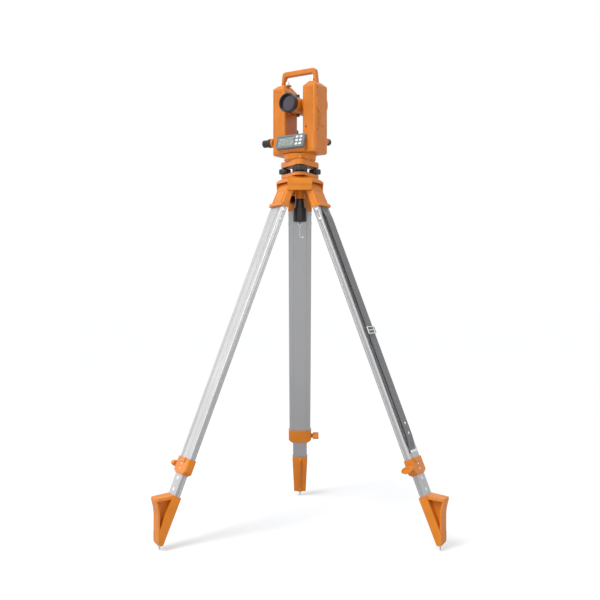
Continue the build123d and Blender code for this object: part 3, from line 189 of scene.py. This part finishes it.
LEG_TONE = (0.47, 0.47, 0.475)
INNER_LEG_TONE = (0.43, 0.43, 0.44)
upper_finish = {
    leg: drawn_aluminium(f"upper_aluminium_{leg}", azimuth, LEG_TONE, 0.36)
    for leg, azimuth in LEG_AZIMUTHS.items()
}
inner_finish = {
    leg: drawn_aluminium(f"inner_aluminium_{leg}", azimuth, INNER_LEG_TONE, 0.34)
    for leg, azimuth in LEG_AZIMUTHS.items()
}

# %% [markdown]
# Small hardware is turned or pressed steel. A brushed look needs stretched noise in the
# roughness more than in the colour, because metal shows its surface in its reflections.

# %% Steel
def turned_steel(name, tone, gloss):
    finish, tree, shader, place = new_finish(name)
    streaks = noise(tree, stretch(tree, place, (1, 1, 14)), 300.0, 3.0)
    colour = ramp(
        tree, streaks, [(0.3, tuple(c * 0.9 for c in tone)), (0.7, tone)]
    )
    tree.links.new(colour, shader.inputs["Base Color"])
    shader.inputs["Metallic"].default_value = 1.0
    tree.links.new(spread(tree, streaks, gloss - 0.06, gloss + 0.08), shader.inputs["Roughness"])
    relief(tree, shader, streaks, 0.08, 0.0001)
    return finish


steel_finish = turned_steel("steel_finish", (0.72, 0.72, 0.73), 0.28)
dark_steel_finish = turned_steel("dark_steel_finish", (0.07, 0.07, 0.08), 0.45)

# %% [markdown]
# Moulded plastic takes the spark-eroded grain of its mould: a very fine pebble. The knobs, the
# centre grip and the hood share it; rubber is the same recipe with a rougher, softer answer to light.

# %% Grained plastic and rubber
def grained(name, tone, gloss, grain, depth):
    finish, tree, shader, place = new_finish(name)
    spot = stretch(tree, place, (1, 1, 1))
    pebble = noise(tree, spot, grain, 2.0)
    cloud = noise(tree, spot, 40.0, 4.0)
    pale = tuple(c * 1.25 for c in tone)
    tree.links.new(
        ramp(tree, cloud, [(0.3, tone), (0.75, pale)]), shader.inputs["Base Color"]
    )
    tree.links.new(spread(tree, cloud, gloss - 0.07, gloss + 0.08), shader.inputs["Roughness"])
    relief(tree, shader, pebble, depth, 0.0003)
    return finish


black_plastic = grained("black_plastic", (0.012, 0.012, 0.014), 0.40, 1400.0, 0.15)
black_rubber = grained("black_rubber", (0.010, 0.010, 0.010), 0.70, 900.0, 0.25)
console_grey = grained("console_grey", (0.13, 0.142, 0.15), 0.45, 1500.0, 0.12)
button_white = grained("button_white", (0.62, 0.65, 0.66), 0.50, 1500.0, 0.08)

# %% [markdown]
# The display is a thin clear window over a grey-green liquid-crystal sheet. The sheet is its own
# piece inside the window, so the window can stay clear, with a faint smear in its gloss.

# %% Window, lens and liquid-crystal sheet
def clear_window():
    finish, tree, shader, place = new_finish("window_glass")
    smear = noise(tree, place.outputs["Object"], 35.0, 5.0)
    tree.links.new(spread(tree, smear, 0.05, 0.16), shader.inputs["Roughness"])
    tint = ramp(tree, smear, [(0.2, (0.80, 0.86, 0.84)), (0.8, (0.90, 0.93, 0.92))])
    tree.links.new(tint, shader.inputs["Base Color"])
    shader.inputs["Transmission Weight"].default_value = 0.9
    shader.inputs["IOR"].default_value = 1.2
    return finish


def coated_lens():
    finish, tree, shader, place = new_finish("coated_lens")
    bloom = noise(tree, place.outputs["Object"], 22.0, 2.0)
    coat = ramp(
        tree,
        bloom,
        [(0.25, (0.012, 0.016, 0.030)), (0.55, (0.030, 0.018, 0.040)), (0.8, (0.014, 0.03, 0.028))],
    )
    tree.links.new(coat, shader.inputs["Base Color"])
    shader.inputs["Roughness"].default_value = 0.06
    shader.inputs["Coat Weight"].default_value = 1.0
    shader.inputs["Coat Roughness"].default_value = 0.03
    return finish


def crystal_sheet():
    finish, tree, shader, place = new_finish("crystal_sheet")
    cloud = noise(tree, place.outputs["Object"], 30.0, 3.0)
    tone = ramp(tree, cloud, [(0.3, (0.235, 0.27, 0.245)), (0.7, (0.28, 0.32, 0.295))])
    tree.links.new(tone, shader.inputs["Base Color"])
    shader.inputs["Roughness"].default_value = 0.35
    return finish


window_glass = clear_window()
lens_glass = coated_lens()
crystal = crystal_sheet()

# %% [markdown]
# The carrying strap is flat woven webbing. A weave follows the cloth, not the room, so it is drawn on
# the strap's own UV map: one wave across for the warp ribs and one along for the picks.

# %% Webbing
def woven_webbing():
    finish, tree, shader, place = new_finish("webbing")
    ribs = tree.nodes.new("ShaderNodeTexWave")
    ribs.bands_direction = "X"
    ribs.inputs["Scale"].default_value = 5.5
    ribs.inputs["Distortion"].default_value = 0.4
    tree.links.new(stretch(tree, place, (1, 1, 1), "UV"), ribs.inputs["Vector"])
    picks = tree.nodes.new("ShaderNodeTexWave")
    picks.bands_direction = "Y"
    picks.inputs["Scale"].default_value = 100.0
    picks.inputs["Distortion"].default_value = 0.6
    tree.links.new(stretch(tree, place, (1, 1, 1), "UV"), picks.inputs["Vector"])
    weave = tree.nodes.new("ShaderNodeMath")
    weave.operation = "MULTIPLY"
    tree.links.new(ribs.outputs["Fac"], weave.inputs[0])
    tree.links.new(picks.outputs["Fac"], weave.inputs[1])
    cloth = ramp(
        tree, weave.outputs[0], [(0.0, (0.075, 0.075, 0.078)), (0.8, (0.34, 0.34, 0.345))]
    )
    tree.links.new(cloth, shader.inputs["Base Color"])
    shader.inputs["Roughness"].default_value = 0.85
    shader.inputs["Sheen Weight"].default_value = 0.15
    relief(tree, shader, weave.outputs[0], 0.6, 0.0006)
    return finish


webbing = woven_webbing()

# %% [markdown]
# A machined or cast edge is never a knife edge: it catches a thin line of light. Each rigid piece
# of the frame is copied, its loose triangles are merged, flat faces are joined, and a small bevel
# rounds its sharp edges. Smooth shading between sharp edges hides the facets of round parts.

# %% Dress a piece of the frame
SHARP = math.radians(32)
MERGE = 2e-6
FLAT = math.radians(0.6)


def dress(node, finish, edge=0.0006, segments=2):
    mesh = frame["nodes"][node].data.copy()
    shape = bmesh.new()
    shape.from_mesh(mesh)
    bmesh.ops.remove_doubles(shape, verts=shape.verts, dist=MERGE)
    bmesh.ops.dissolve_limit(
        shape, angle_limit=FLAT, verts=shape.verts, edges=shape.edges
    )
    shape.to_mesh(mesh)
    shape.free()
    mesh.materials.clear()
    mesh.materials.append(finish)
    mesh.shade_smooth()
    mesh.set_sharp_from_angle(angle=SHARP)
    piece = bpy.data.objects.new(f"{node}_dressed", mesh)
    bpy.context.scene.collection.objects.link(piece)
    if edge > 0:
        bevel = piece.modifiers.new("edge", "BEVEL")
        bevel.width = edge
        bevel.segments = segments
        bevel.limit_method = "ANGLE"
        bevel.angle_limit = SHARP
        bevel.harden_normals = True
    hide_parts(node)
    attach(piece, bodies_of[node])
    return piece


dressed = {}
for leg in LEG_AZIMUTHS:
    dressed[f"bracket_{leg}"] = dress(f"bracket_{leg}", casting_paint, 0.0012, 3)
    dressed[f"upper_leg_{leg}"] = dress(f"upper_leg_{leg}", upper_finish[leg], 0.0002)
    dressed[f"collar_{leg}"] = dress(f"collar_{leg}", casting_paint, 0.0010, 3)
    dressed[f"wing_screw_{leg}"] = dress(
        f"wing_screw_{leg}", casting_paint, 0.0010, 3
    )
    dressed[f"inner_leg_{leg}"] = dress(f"inner_leg_{leg}", inner_finish[leg], 0.0008)
    dressed[f"shoe_{leg}"] = dress(f"shoe_{leg}", casting_paint, 0.0010, 3)
    dressed[f"foot_point_{leg}"] = dress(f"foot_point_{leg}", steel_finish, 0.0003)
for node in ("tripod_head", "base_plate", "trivet", "circle_housing", "lock_knob"):
    dressed[node] = dress(node, casting_paint, 0.0010, 3)
for node in ("alidade_base", "standard_left", "standard_right", "telescope_tube", "handle"):
    dressed[node] = dress(node, housing_paint, 0.0012, 3)
for node in ("hinge_pins", "strap_fittings", "screw_arm", "handle_screws"):
    dressed[node] = dress(node, steel_finish, 0.0004)
dressed["plumb_hook"] = dress("plumb_hook", steel_finish, 0.0)
dressed["spring_plate"] = dress("spring_plate", dark_steel_finish, 0.0004)
for node in ("centre_screw", "h_clamp", "h_tangent", "v_clamp", "v_tangent"):
    dressed[node] = dress(node, black_plastic, 0.0006)
for node in ("footscrew_front", "footscrew_left", "footscrew_right"):
    dressed[node] = dress(node, black_plastic, 0.0006)
for node in ("plummet_eyepiece", "sights", "objective_hood", "focus_ring"):
    dressed[node] = dress(node, black_plastic, 0.0005)
dressed["eyepiece"] = dress("eyepiece", black_rubber, 0.0005)
dressed["console"] = dress("console", console_grey, 0.0008, 3)
dressed["display_window"] = dress("display_window", window_glass, 0.0002)
dressed["objective_lens"] = dress("objective_lens", lens_glass, 0.0)
for column in (1, 2):
    for row in (1, 2, 3):
        node = f"button_{column}{row}"
        dressed[node] = dress(node, button_white, 0.0007, 3)
print("dressed", len(dressed), "pieces")

# %% [markdown]
# The centre screw passes through a painted sleeve before its black grip begins. The two are one
# turned piece, so the upper faces of the same mesh take the orange paint.

# %% Painted sleeve of the centre screw
SLEEVE_FOOT_Z = 1.0572
screw_mesh = dressed["centre_screw"].data
screw_mesh.materials.append(casting_paint)
for face in screw_mesh.polygons:
    if face.center.z > SLEEVE_FOOT_Z:
        face.material_index = 1

# %% [markdown]
# The strap is cloth, so it isn't a bevelled block: it is one long ribbon, a little hollow across, held
# at the anchor plate and under the bracket's tongue. It is built along the leg from its profile and
# given a UV map in cloth units, then thickened.

# %% Strap
HINGE_R, HINGE_Z = 0.0479, 1.095
STRAP_W = 0.0425
STRAP_THICK = 0.0024
STRAP_OFF = 0.0055
STRAP_TOP_S, STRAP_BOTTOM_S = 0.078, 0.884
STRAP_RAMP = 0.042
LEG_FACE = 0.010


def on_leg(leg, u, t, s):
    """A point in leg coordinates: outwards, sideways, and down from the hinge."""
    azimuth = math.radians(LEG_AZIMUTHS[leg])
    r = HINGE_R + u * math.cos(LEG_TILT) + s * math.sin(LEG_TILT)
    z = HINGE_Z + u * math.sin(LEG_TILT) - s * math.cos(LEG_TILT)
    return Vector(
        (
            r * math.cos(azimuth) - t * math.sin(azimuth),
            r * math.sin(azimuth) + t * math.cos(azimuth),
            z,
        )
    )


def strap_lift(s):
    """How far the ribbon stands off the leg at a distance from the hinge."""
    near = min(1.0, max(0.0, (s - STRAP_TOP_S - 0.006) / (STRAP_RAMP - 0.006)))
    far = min(1.0, max(0.0, (STRAP_BOTTOM_S - 0.008 - s) / STRAP_RAMP))
    ease = min(near, far)
    return STRAP_OFF * ease * ease * (3 - 2 * ease)


def make_strap():
    across, rows = 8, 160
    mesh = bpy.data.meshes.new("strap_cloth")
    shape = bmesh.new()
    uv = shape.loops.layers.uv.new("UVMap")
    grid = []
    for i in range(rows + 1):
        s = STRAP_TOP_S + (STRAP_BOTTOM_S - STRAP_TOP_S) * i / rows
        line = []
        for j in range(across + 1):
            w = j / across - 0.5
            u = LEG_FACE + STRAP_THICK / 2 + strap_lift(s) - 0.0005 * (2 * w) ** 2
            line.append(shape.verts.new(on_leg("right", u, w * (STRAP_W - 0.0006), s)))
        grid.append(line)
    for i in range(rows):
        for j in range(across):
            face = shape.faces.new(
                (grid[i][j], grid[i][j + 1], grid[i + 1][j + 1], grid[i + 1][j])
            )
            corners = ((i, j), (i, j + 1), (i + 1, j + 1), (i + 1, j))
            for loop, (a, b) in zip(face.loops, corners):
                loop[uv].uv = (b / across, a / rows)
            face.smooth = True
    bmesh.ops.recalc_face_normals(shape, faces=shape.faces)
    shape.to_mesh(mesh)
    shape.free()
    piece = bpy.data.objects.new("strap_cloth", mesh)
    bpy.context.scene.collection.objects.link(piece)
    mesh.materials.append(webbing)
    wall = piece.modifiers.new("thickness", "SOLIDIFY")
    wall.thickness = STRAP_THICK - 0.0004
    wall.offset = 0.0
    rim = piece.modifiers.new("rim", "BEVEL")
    rim.width = 0.0004
    rim.segments = 2
    rim.limit_method = "ANGLE"
    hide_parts("strap")
    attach(piece, "leg_right")
    print("strap", len(mesh.vertices), "points")


make_strap()

# %% [markdown]
# Screws, rivets and eyelets come in rows. A row is one small Geometry Nodes tree: a line of points,
# a domed head on each, turned to face away from its surface. The tree is used for every row, then
# turned into a plain mesh, so that each body keeps its own fasteners when a joint moves.

# %% Row of fasteners
def fastener_tree():
    """Geometry Nodes tree: Count balls from Start by Step, each flattened by Squash."""
    tree = bpy.data.node_groups.new("fastener_row", "GeometryNodeTree")
    sockets = {}
    for name, kind in (
        ("Count", "NodeSocketInt"),
        ("Start", "NodeSocketVector"),
        ("Step", "NodeSocketVector"),
        ("Turn", "NodeSocketVector"),
        ("Radius", "NodeSocketFloat"),
        ("Squash", "NodeSocketVector"),
        ("Finish", "NodeSocketMaterial"),
    ):
        sockets[name] = tree.interface.new_socket(
            name, in_out="INPUT", socket_type=kind
        ).identifier
    tree.interface.new_socket(
        "Geometry", in_out="OUTPUT", socket_type="NodeSocketGeometry"
    )
    given = tree.nodes.new("NodeGroupInput")
    line = tree.nodes.new("GeometryNodeMeshLine")
    ball = tree.nodes.new("GeometryNodeMeshUVSphere")
    flat = tree.nodes.new("GeometryNodeTransform")
    place = tree.nodes.new("GeometryNodeInstanceOnPoints")
    real = tree.nodes.new("GeometryNodeRealizeInstances")
    smooth = tree.nodes.new("GeometryNodeSetShadeSmooth")
    paint = tree.nodes.new("GeometryNodeSetMaterial")
    result = tree.nodes.new("NodeGroupOutput")
    ball.inputs["Segments"].default_value = 20
    ball.inputs["Rings"].default_value = 12
    links = tree.links
    links.new(given.outputs["Count"], line.inputs["Count"])
    links.new(given.outputs["Start"], line.inputs["Start Location"])
    links.new(given.outputs["Step"], line.inputs["Offset"])
    links.new(given.outputs["Radius"], ball.inputs["Radius"])
    links.new(ball.outputs["Mesh"], flat.inputs["Geometry"])
    links.new(given.outputs["Squash"], flat.inputs["Scale"])
    links.new(line.outputs["Mesh"], place.inputs["Points"])
    links.new(flat.outputs["Geometry"], place.inputs["Instance"])
    links.new(given.outputs["Turn"], place.inputs["Rotation"])
    links.new(place.outputs["Instances"], real.inputs["Geometry"])
    links.new(real.outputs["Geometry"], smooth.inputs["Geometry"])
    links.new(smooth.outputs["Geometry"], paint.inputs["Geometry"])
    links.new(given.outputs["Finish"], paint.inputs["Material"])
    links.new(paint.outputs["Geometry"], result.inputs["Geometry"])
    return tree, sockets


row_tree, row_sockets = fastener_tree()


def fastener_row(name, body, finish, start, end, count, facing, radius, proud):
    """Domed heads from start to end on a surface that faces a given way."""
    start, end = Vector(start), Vector(end)
    step = (end - start) / max(1, count - 1)
    host = bpy.data.objects.new(name + "_host", bpy.data.meshes.new(name))
    bpy.context.scene.collection.objects.link(host)
    row = host.modifiers.new("row", "NODES")
    row.node_group = row_tree
    settings = {
        "Count": count,
        "Start": start,
        "Step": step,
        "Turn": Vector(facing).to_track_quat("Z", "Y").to_euler(),
        "Radius": radius,
        "Squash": (1.0, 1.0, proud / radius),
        "Finish": finish,
    }
    for key, value in settings.items():
        row[row_sockets[key]] = value
    host.update_tag()
    bpy.context.view_layer.update()
    ready = host.evaluated_get(bpy.context.evaluated_depsgraph_get())
    mesh = bpy.data.meshes.new_from_object(ready)
    mesh.name = name
    bpy.data.objects.remove(host)
    piece = bpy.data.objects.new(name, mesh)
    bpy.context.scene.collection.objects.link(piece)
    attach(piece, body)


# %% [markdown]
# Where each row sits follows the leg's own coordinates, so one loop serves all three legs: bolts
# through the bracket's spigot, screws in the collar, and rivets that hold the inner leg's end. The
# rivets are nearly flush, because they pass through the collar's throat when the leg is pushed in.

# %% Fasteners on the legs
LEG_HALF_W = 0.038
COLLAR_FACE = 0.013
INNER_FACE = 0.0086
BOLT_S = (0.086, 0.117)
COLLAR_SCREW_S = (0.919, 0.934)
RIVET_S = (0.962, 0.997)
BOLT = {"radius": 0.0052, "proud": 0.0016}
COLLAR_SCREW = {"radius": 0.0034, "proud": 0.0013}
RIVET = {"radius": 0.0056, "proud": 0.00012}
EYELET = {"radius": 0.0046, "proud": 0.0009}


def leg_row(leg, name, body, slot, finish, u, t, span, count, outward, radius, proud):
    """A row down a leg, at u and t, facing outwards or sideways."""
    origin = on_leg(leg, 0, 0, 0)
    facing = on_leg(leg, *outward, 0) - origin
    start = on_leg(leg, u, t, span[0])
    end = on_leg(leg, u, t, span[1])
    fastener_row(
        f"{name}_{leg}", f"{body}_{leg}", finish, start, end, count, facing, radius, proud
    )


for leg in LEG_AZIMUTHS:
    for side, word in ((1, "bolts_a"), (-1, "bolts_b")):
        leg_row(
            leg, word, "leg", "steel", steel_finish,
            0, side * LEG_HALF_W, BOLT_S, 2, (0, side), **BOLT,
        )
    leg_row(
        leg, "collar_screws", "leg", "steel", steel_finish,
        COLLAR_FACE, 0, COLLAR_SCREW_S, 2, (1, 0), **COLLAR_SCREW,
    )
    leg_row(
        leg, "rivets", "foot", "steel", steel_finish,
        INNER_FACE, 0, RIVET_S, 2, (1, 0), **RIVET,
    )
EYELET_S = (0.795, 0.826)
eyelet_u = LEG_FACE + STRAP_OFF + STRAP_THICK
leg_row(
    "right", "eyelets", "leg", "steel", steel_finish,
    eyelet_u, 0, EYELET_S, 2, (1, 0), **EYELET,
)
print("rows of fasteners on", len(LEG_AZIMUTHS), "legs")

# %% [markdown]
# The housings are closed with small screws. They are dark, nearly flush, and sit where a cover
# would really be held: near the corners of the sides and on the face of the right upright.

# %% Case screws
HEAD_TOP = 1.1265
YAW = math.radians(-33.0)
instrument = Matrix.Translation((0, 0, HEAD_TOP)) @ Matrix.Rotation(YAW, 4, "Z")
SIDE_X = 0.082
PANEL_Y = 0.026
FRONT_Y = -0.0378
PANEL_Z = (0.142, 0.272)
FACE_SCREW = (0.047, FRONT_Y, 0.152)
CASE_SCREW_R = 0.0022
FACE_SCREW_R = 0.003
CASE_SCREW_PROUD = 0.0006


def case_row(name, start, end, count, facing, radius=CASE_SCREW_R):
    """A row of case screws in instrument coordinates."""
    turn = instrument.to_3x3()
    fastener_row(
        name, "alidade", dark_steel_finish, instrument @ Vector(start),
        instrument @ Vector(end), count, turn @ Vector(facing), radius, CASE_SCREW_PROUD,
    )


for side, word in ((-1, "left"), (1, "right")):
    for y, end in ((-PANEL_Y, "front"), (PANEL_Y, "rear")):
        case_row(
            f"case_screws_{word}_{end}",
            (side * SIDE_X, y, PANEL_Z[0]), (side * SIDE_X, y, PANEL_Z[1]), 2, (side, 0, 0),
        )
case_row("face_screw", FACE_SCREW, FACE_SCREW, 1, (0, -1, 0), FACE_SCREW_R)
print("case screws in 5 rows")

# %% [markdown]
# Behind the window lies the liquid-crystal cell: a grey-green sheet with a darker rim, where the
# seal runs round the liquid. It is a thin tile just inside the window, on the panel's leaning plane.
# Its front face is inset, and the ring that the inset leaves takes the rim's finish.

# %% Display cell
PANEL_LEAN = math.radians(17.0)
CELL_MARGIN = 0.002
CELL_RIM = 0.0016
CELL_DEPTH = (0.0001, 0.0006)
rim_grey = grained("rim_grey", (0.055, 0.062, 0.060), 0.50, 1500.0, 0.05)


def display_cell():
    window = frame["nodes"]["display_window"].data
    corner_low, corner_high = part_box("display_window")
    centre = (corner_low + corner_high) / 2
    turn = instrument.to_3x3()
    out = turn @ Vector((0, -math.cos(PANEL_LEAN), math.sin(PANEL_LEAN)))
    right = turn @ Vector((1, 0, 0))
    up = out.cross(right)
    half_w = max(abs((v.co - centre).dot(right)) for v in window.vertices) - CELL_MARGIN
    half_h = max(abs((v.co - centre).dot(up)) for v in window.vertices) - CELL_MARGIN
    back = min((v.co - centre).dot(out) for v in window.vertices)
    shape = bmesh.new()
    verts = [
        shape.verts.new(centre + right * (x * half_w) + up * (y * half_h) + out * (back + depth))
        for depth in CELL_DEPTH
        for x, y in ((-1, -1), (1, -1), (1, 1), (-1, 1))
    ]
    shape.faces.new(verts[:4])
    front = shape.faces.new(verts[4:])
    for i in range(4):
        j = (i + 1) % 4
        shape.faces.new((verts[i], verts[j], verts[4 + j], verts[4 + i]))
    ring = bmesh.ops.inset_region(shape, faces=[front], thickness=CELL_RIM)["faces"]
    for face in ring:
        face.material_index = 1
    bmesh.ops.recalc_face_normals(shape, faces=shape.faces)
    mesh = bpy.data.meshes.new("display_cell")
    shape.to_mesh(mesh)
    shape.free()
    mesh.materials.append(crystal)
    mesh.materials.append(rim_grey)
    piece = bpy.data.objects.new("display_cell", mesh)
    bpy.context.scene.collection.objects.link(piece)
    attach(piece, "alidade")


display_cell()
print("display cell in place")

# %% [markdown]
# The studio is a pale floor and a white surround. The surround shows white to the camera and to
# reflections, but lights the object at a lower level, so that colours stay as they are written.

# %% Studio
WORLD_FILL = 0.62
FLOOR_TONE = 0.60
FLOOR_GLOW = 0.36
SUN_POWER = 1.75
SUN_SOFTNESS = 26.0
FLOOR_HALF = 60.0


def studio_world():
    world = bpy.data.worlds.new("surround")
    bpy.context.scene.world = world
    world.use_nodes = True
    tree = world.node_tree
    tree.nodes.clear()
    out = tree.nodes.new("ShaderNodeOutputWorld")
    mix = tree.nodes.new("ShaderNodeMixShader")
    path = tree.nodes.new("ShaderNodeLightPath")
    fill = tree.nodes.new("ShaderNodeBackground")
    fill.inputs["Color"].default_value = (0.93, 0.96, 1.0, 1)
    fill.inputs["Strength"].default_value = WORLD_FILL
    white = tree.nodes.new("ShaderNodeBackground")
    white.inputs["Color"].default_value = (1, 1, 1, 1)
    white.inputs["Strength"].default_value = 1.0
    seen = tree.nodes.new("ShaderNodeMath")
    seen.operation = "MAXIMUM"
    also = tree.nodes.new("ShaderNodeMath")
    also.operation = "MAXIMUM"
    tree.links.new(path.outputs["Is Camera Ray"], seen.inputs[0])
    tree.links.new(path.outputs["Is Transmission Ray"], seen.inputs[1])
    tree.links.new(seen.outputs[0], also.inputs[0])
    tree.links.new(path.outputs["Is Glossy Ray"], also.inputs[1])
    tree.links.new(also.outputs[0], mix.inputs[0])
    tree.links.new(fill.outputs[0], mix.inputs[1])
    tree.links.new(white.outputs[0], mix.inputs[2])
    tree.links.new(mix.outputs[0], out.inputs["Surface"])


def studio_floor():
    finish, tree, shader, place = new_finish("studio_floor")
    cloud = noise(tree, place.outputs["Object"], 2.0, 2.0)
    darker = (FLOOR_TONE - 0.01,) * 3
    tone = ramp(tree, cloud, [(0.0, darker), (1.0, (FLOOR_TONE + 0.01,) * 3)])
    tree.links.new(tone, shader.inputs["Base Color"])
    shader.inputs["Roughness"].default_value = 0.9
    shader.inputs["Specular IOR Level"].default_value = 0.1
    glow = tree.nodes.new("ShaderNodeEmission")
    glow.inputs["Strength"].default_value = FLOOR_GLOW
    path = tree.nodes.new("ShaderNodeLightPath")
    none = tree.nodes.new("ShaderNodeEmission")
    none.inputs["Strength"].default_value = 0.0
    pick = tree.nodes.new("ShaderNodeMixShader")
    tree.links.new(path.outputs["Is Camera Ray"], pick.inputs[0])
    tree.links.new(none.outputs[0], pick.inputs[1])
    tree.links.new(glow.outputs[0], pick.inputs[2])
    both = tree.nodes.new("ShaderNodeAddShader")
    tree.links.new(shader.outputs[0], both.inputs[0])
    tree.links.new(pick.outputs[0], both.inputs[1])
    tree.links.new(both.outputs[0], tree.nodes["Material Output"].inputs["Surface"])
    mesh = bpy.data.meshes.new("floor")
    far = FLOOR_HALF
    corners = [(-far, -far, 0), (far, -far, 0), (far, far, 0), (-far, far, 0)]
    mesh.from_pydata(corners, [], [(0, 1, 2, 3)])
    mesh.materials.append(finish)
    floor = bpy.data.objects.new("floor", mesh)
    bpy.context.scene.collection.objects.link(floor)


def softbox(name, place, aim, size, power, colour=(1, 1, 1)):
    lamp = bpy.data.lights.new(name, "AREA")
    lamp.shape = "RECTANGLE"
    lamp.size, lamp.size_y = size
    lamp.energy = power
    lamp.color = colour
    holder = bpy.data.objects.new(name, lamp)
    holder.location = place
    holder.rotation_euler = (Vector(aim) - Vector(place)).to_track_quat("-Z", "Y").to_euler()
    bpy.context.scene.collection.objects.link(holder)


def soft_sun(direction):
    """A wide sun, so that the floor is lit evenly out to the horizon."""
    lamp = bpy.data.lights.new("sun", "SUN")
    lamp.energy = SUN_POWER
    lamp.angle = math.radians(SUN_SOFTNESS)
    holder = bpy.data.objects.new("sun", lamp)
    holder.rotation_euler = Vector(direction).to_track_quat("-Z", "Y").to_euler()
    bpy.context.scene.collection.objects.link(holder)


studio_world()
studio_floor()
soft_sun((0.45, 0.55, -1.0))
softbox("key", (-2.2, -2.6, 2.6), (0, 0, 0.9), (1.4, 1.8), 40)
softbox("fill", (2.6, -1.6, 1.6), (0, 0, 0.8), (1.0, 2.0), 12, (1.0, 0.98, 0.95))
softbox("low_front", (-0.6, -3.0, 0.7), (0, 0, 0.25), (2.4, 0.8), 8)
softbox("left_rim", (-2.9, 2.1, 1.3), (-0.3, 0, 0.6), (2.4, 2.6), 14)
print("lamps", len(bpy.data.lights))

# %% [markdown]
# The picture was taken level, from in front and about half way up. The camera stands where the
# three foot points and the head fall on the same places of the frame as in the picture.

# %% Camera
IMAGE = 600
FOCAL_PX = 870.0
AXIS_PX = 299.9
EYE = (0.0, -2.788, 0.7335)
SENSOR = 36.0
camera = bpy.data.cameras.new("camera")
camera.sensor_fit = "HORIZONTAL"
camera.sensor_width = SENSOR
camera.lens = SENSOR * FOCAL_PX / IMAGE
camera.clip_end = 60
eye = bpy.data.objects.new("camera", camera)
eye.location = (EYE[0] + (IMAGE / 2 - AXIS_PX) * -EYE[1] / FOCAL_PX, EYE[1], EYE[2])
eye.rotation_euler = (math.radians(90), 0, 0)
bpy.context.scene.collection.objects.link(eye)
bpy.context.scene.camera = eye
bpy.context.scene.view_settings.view_transform = "Standard"
print("camera lens", round(camera.lens, 1), "mm")
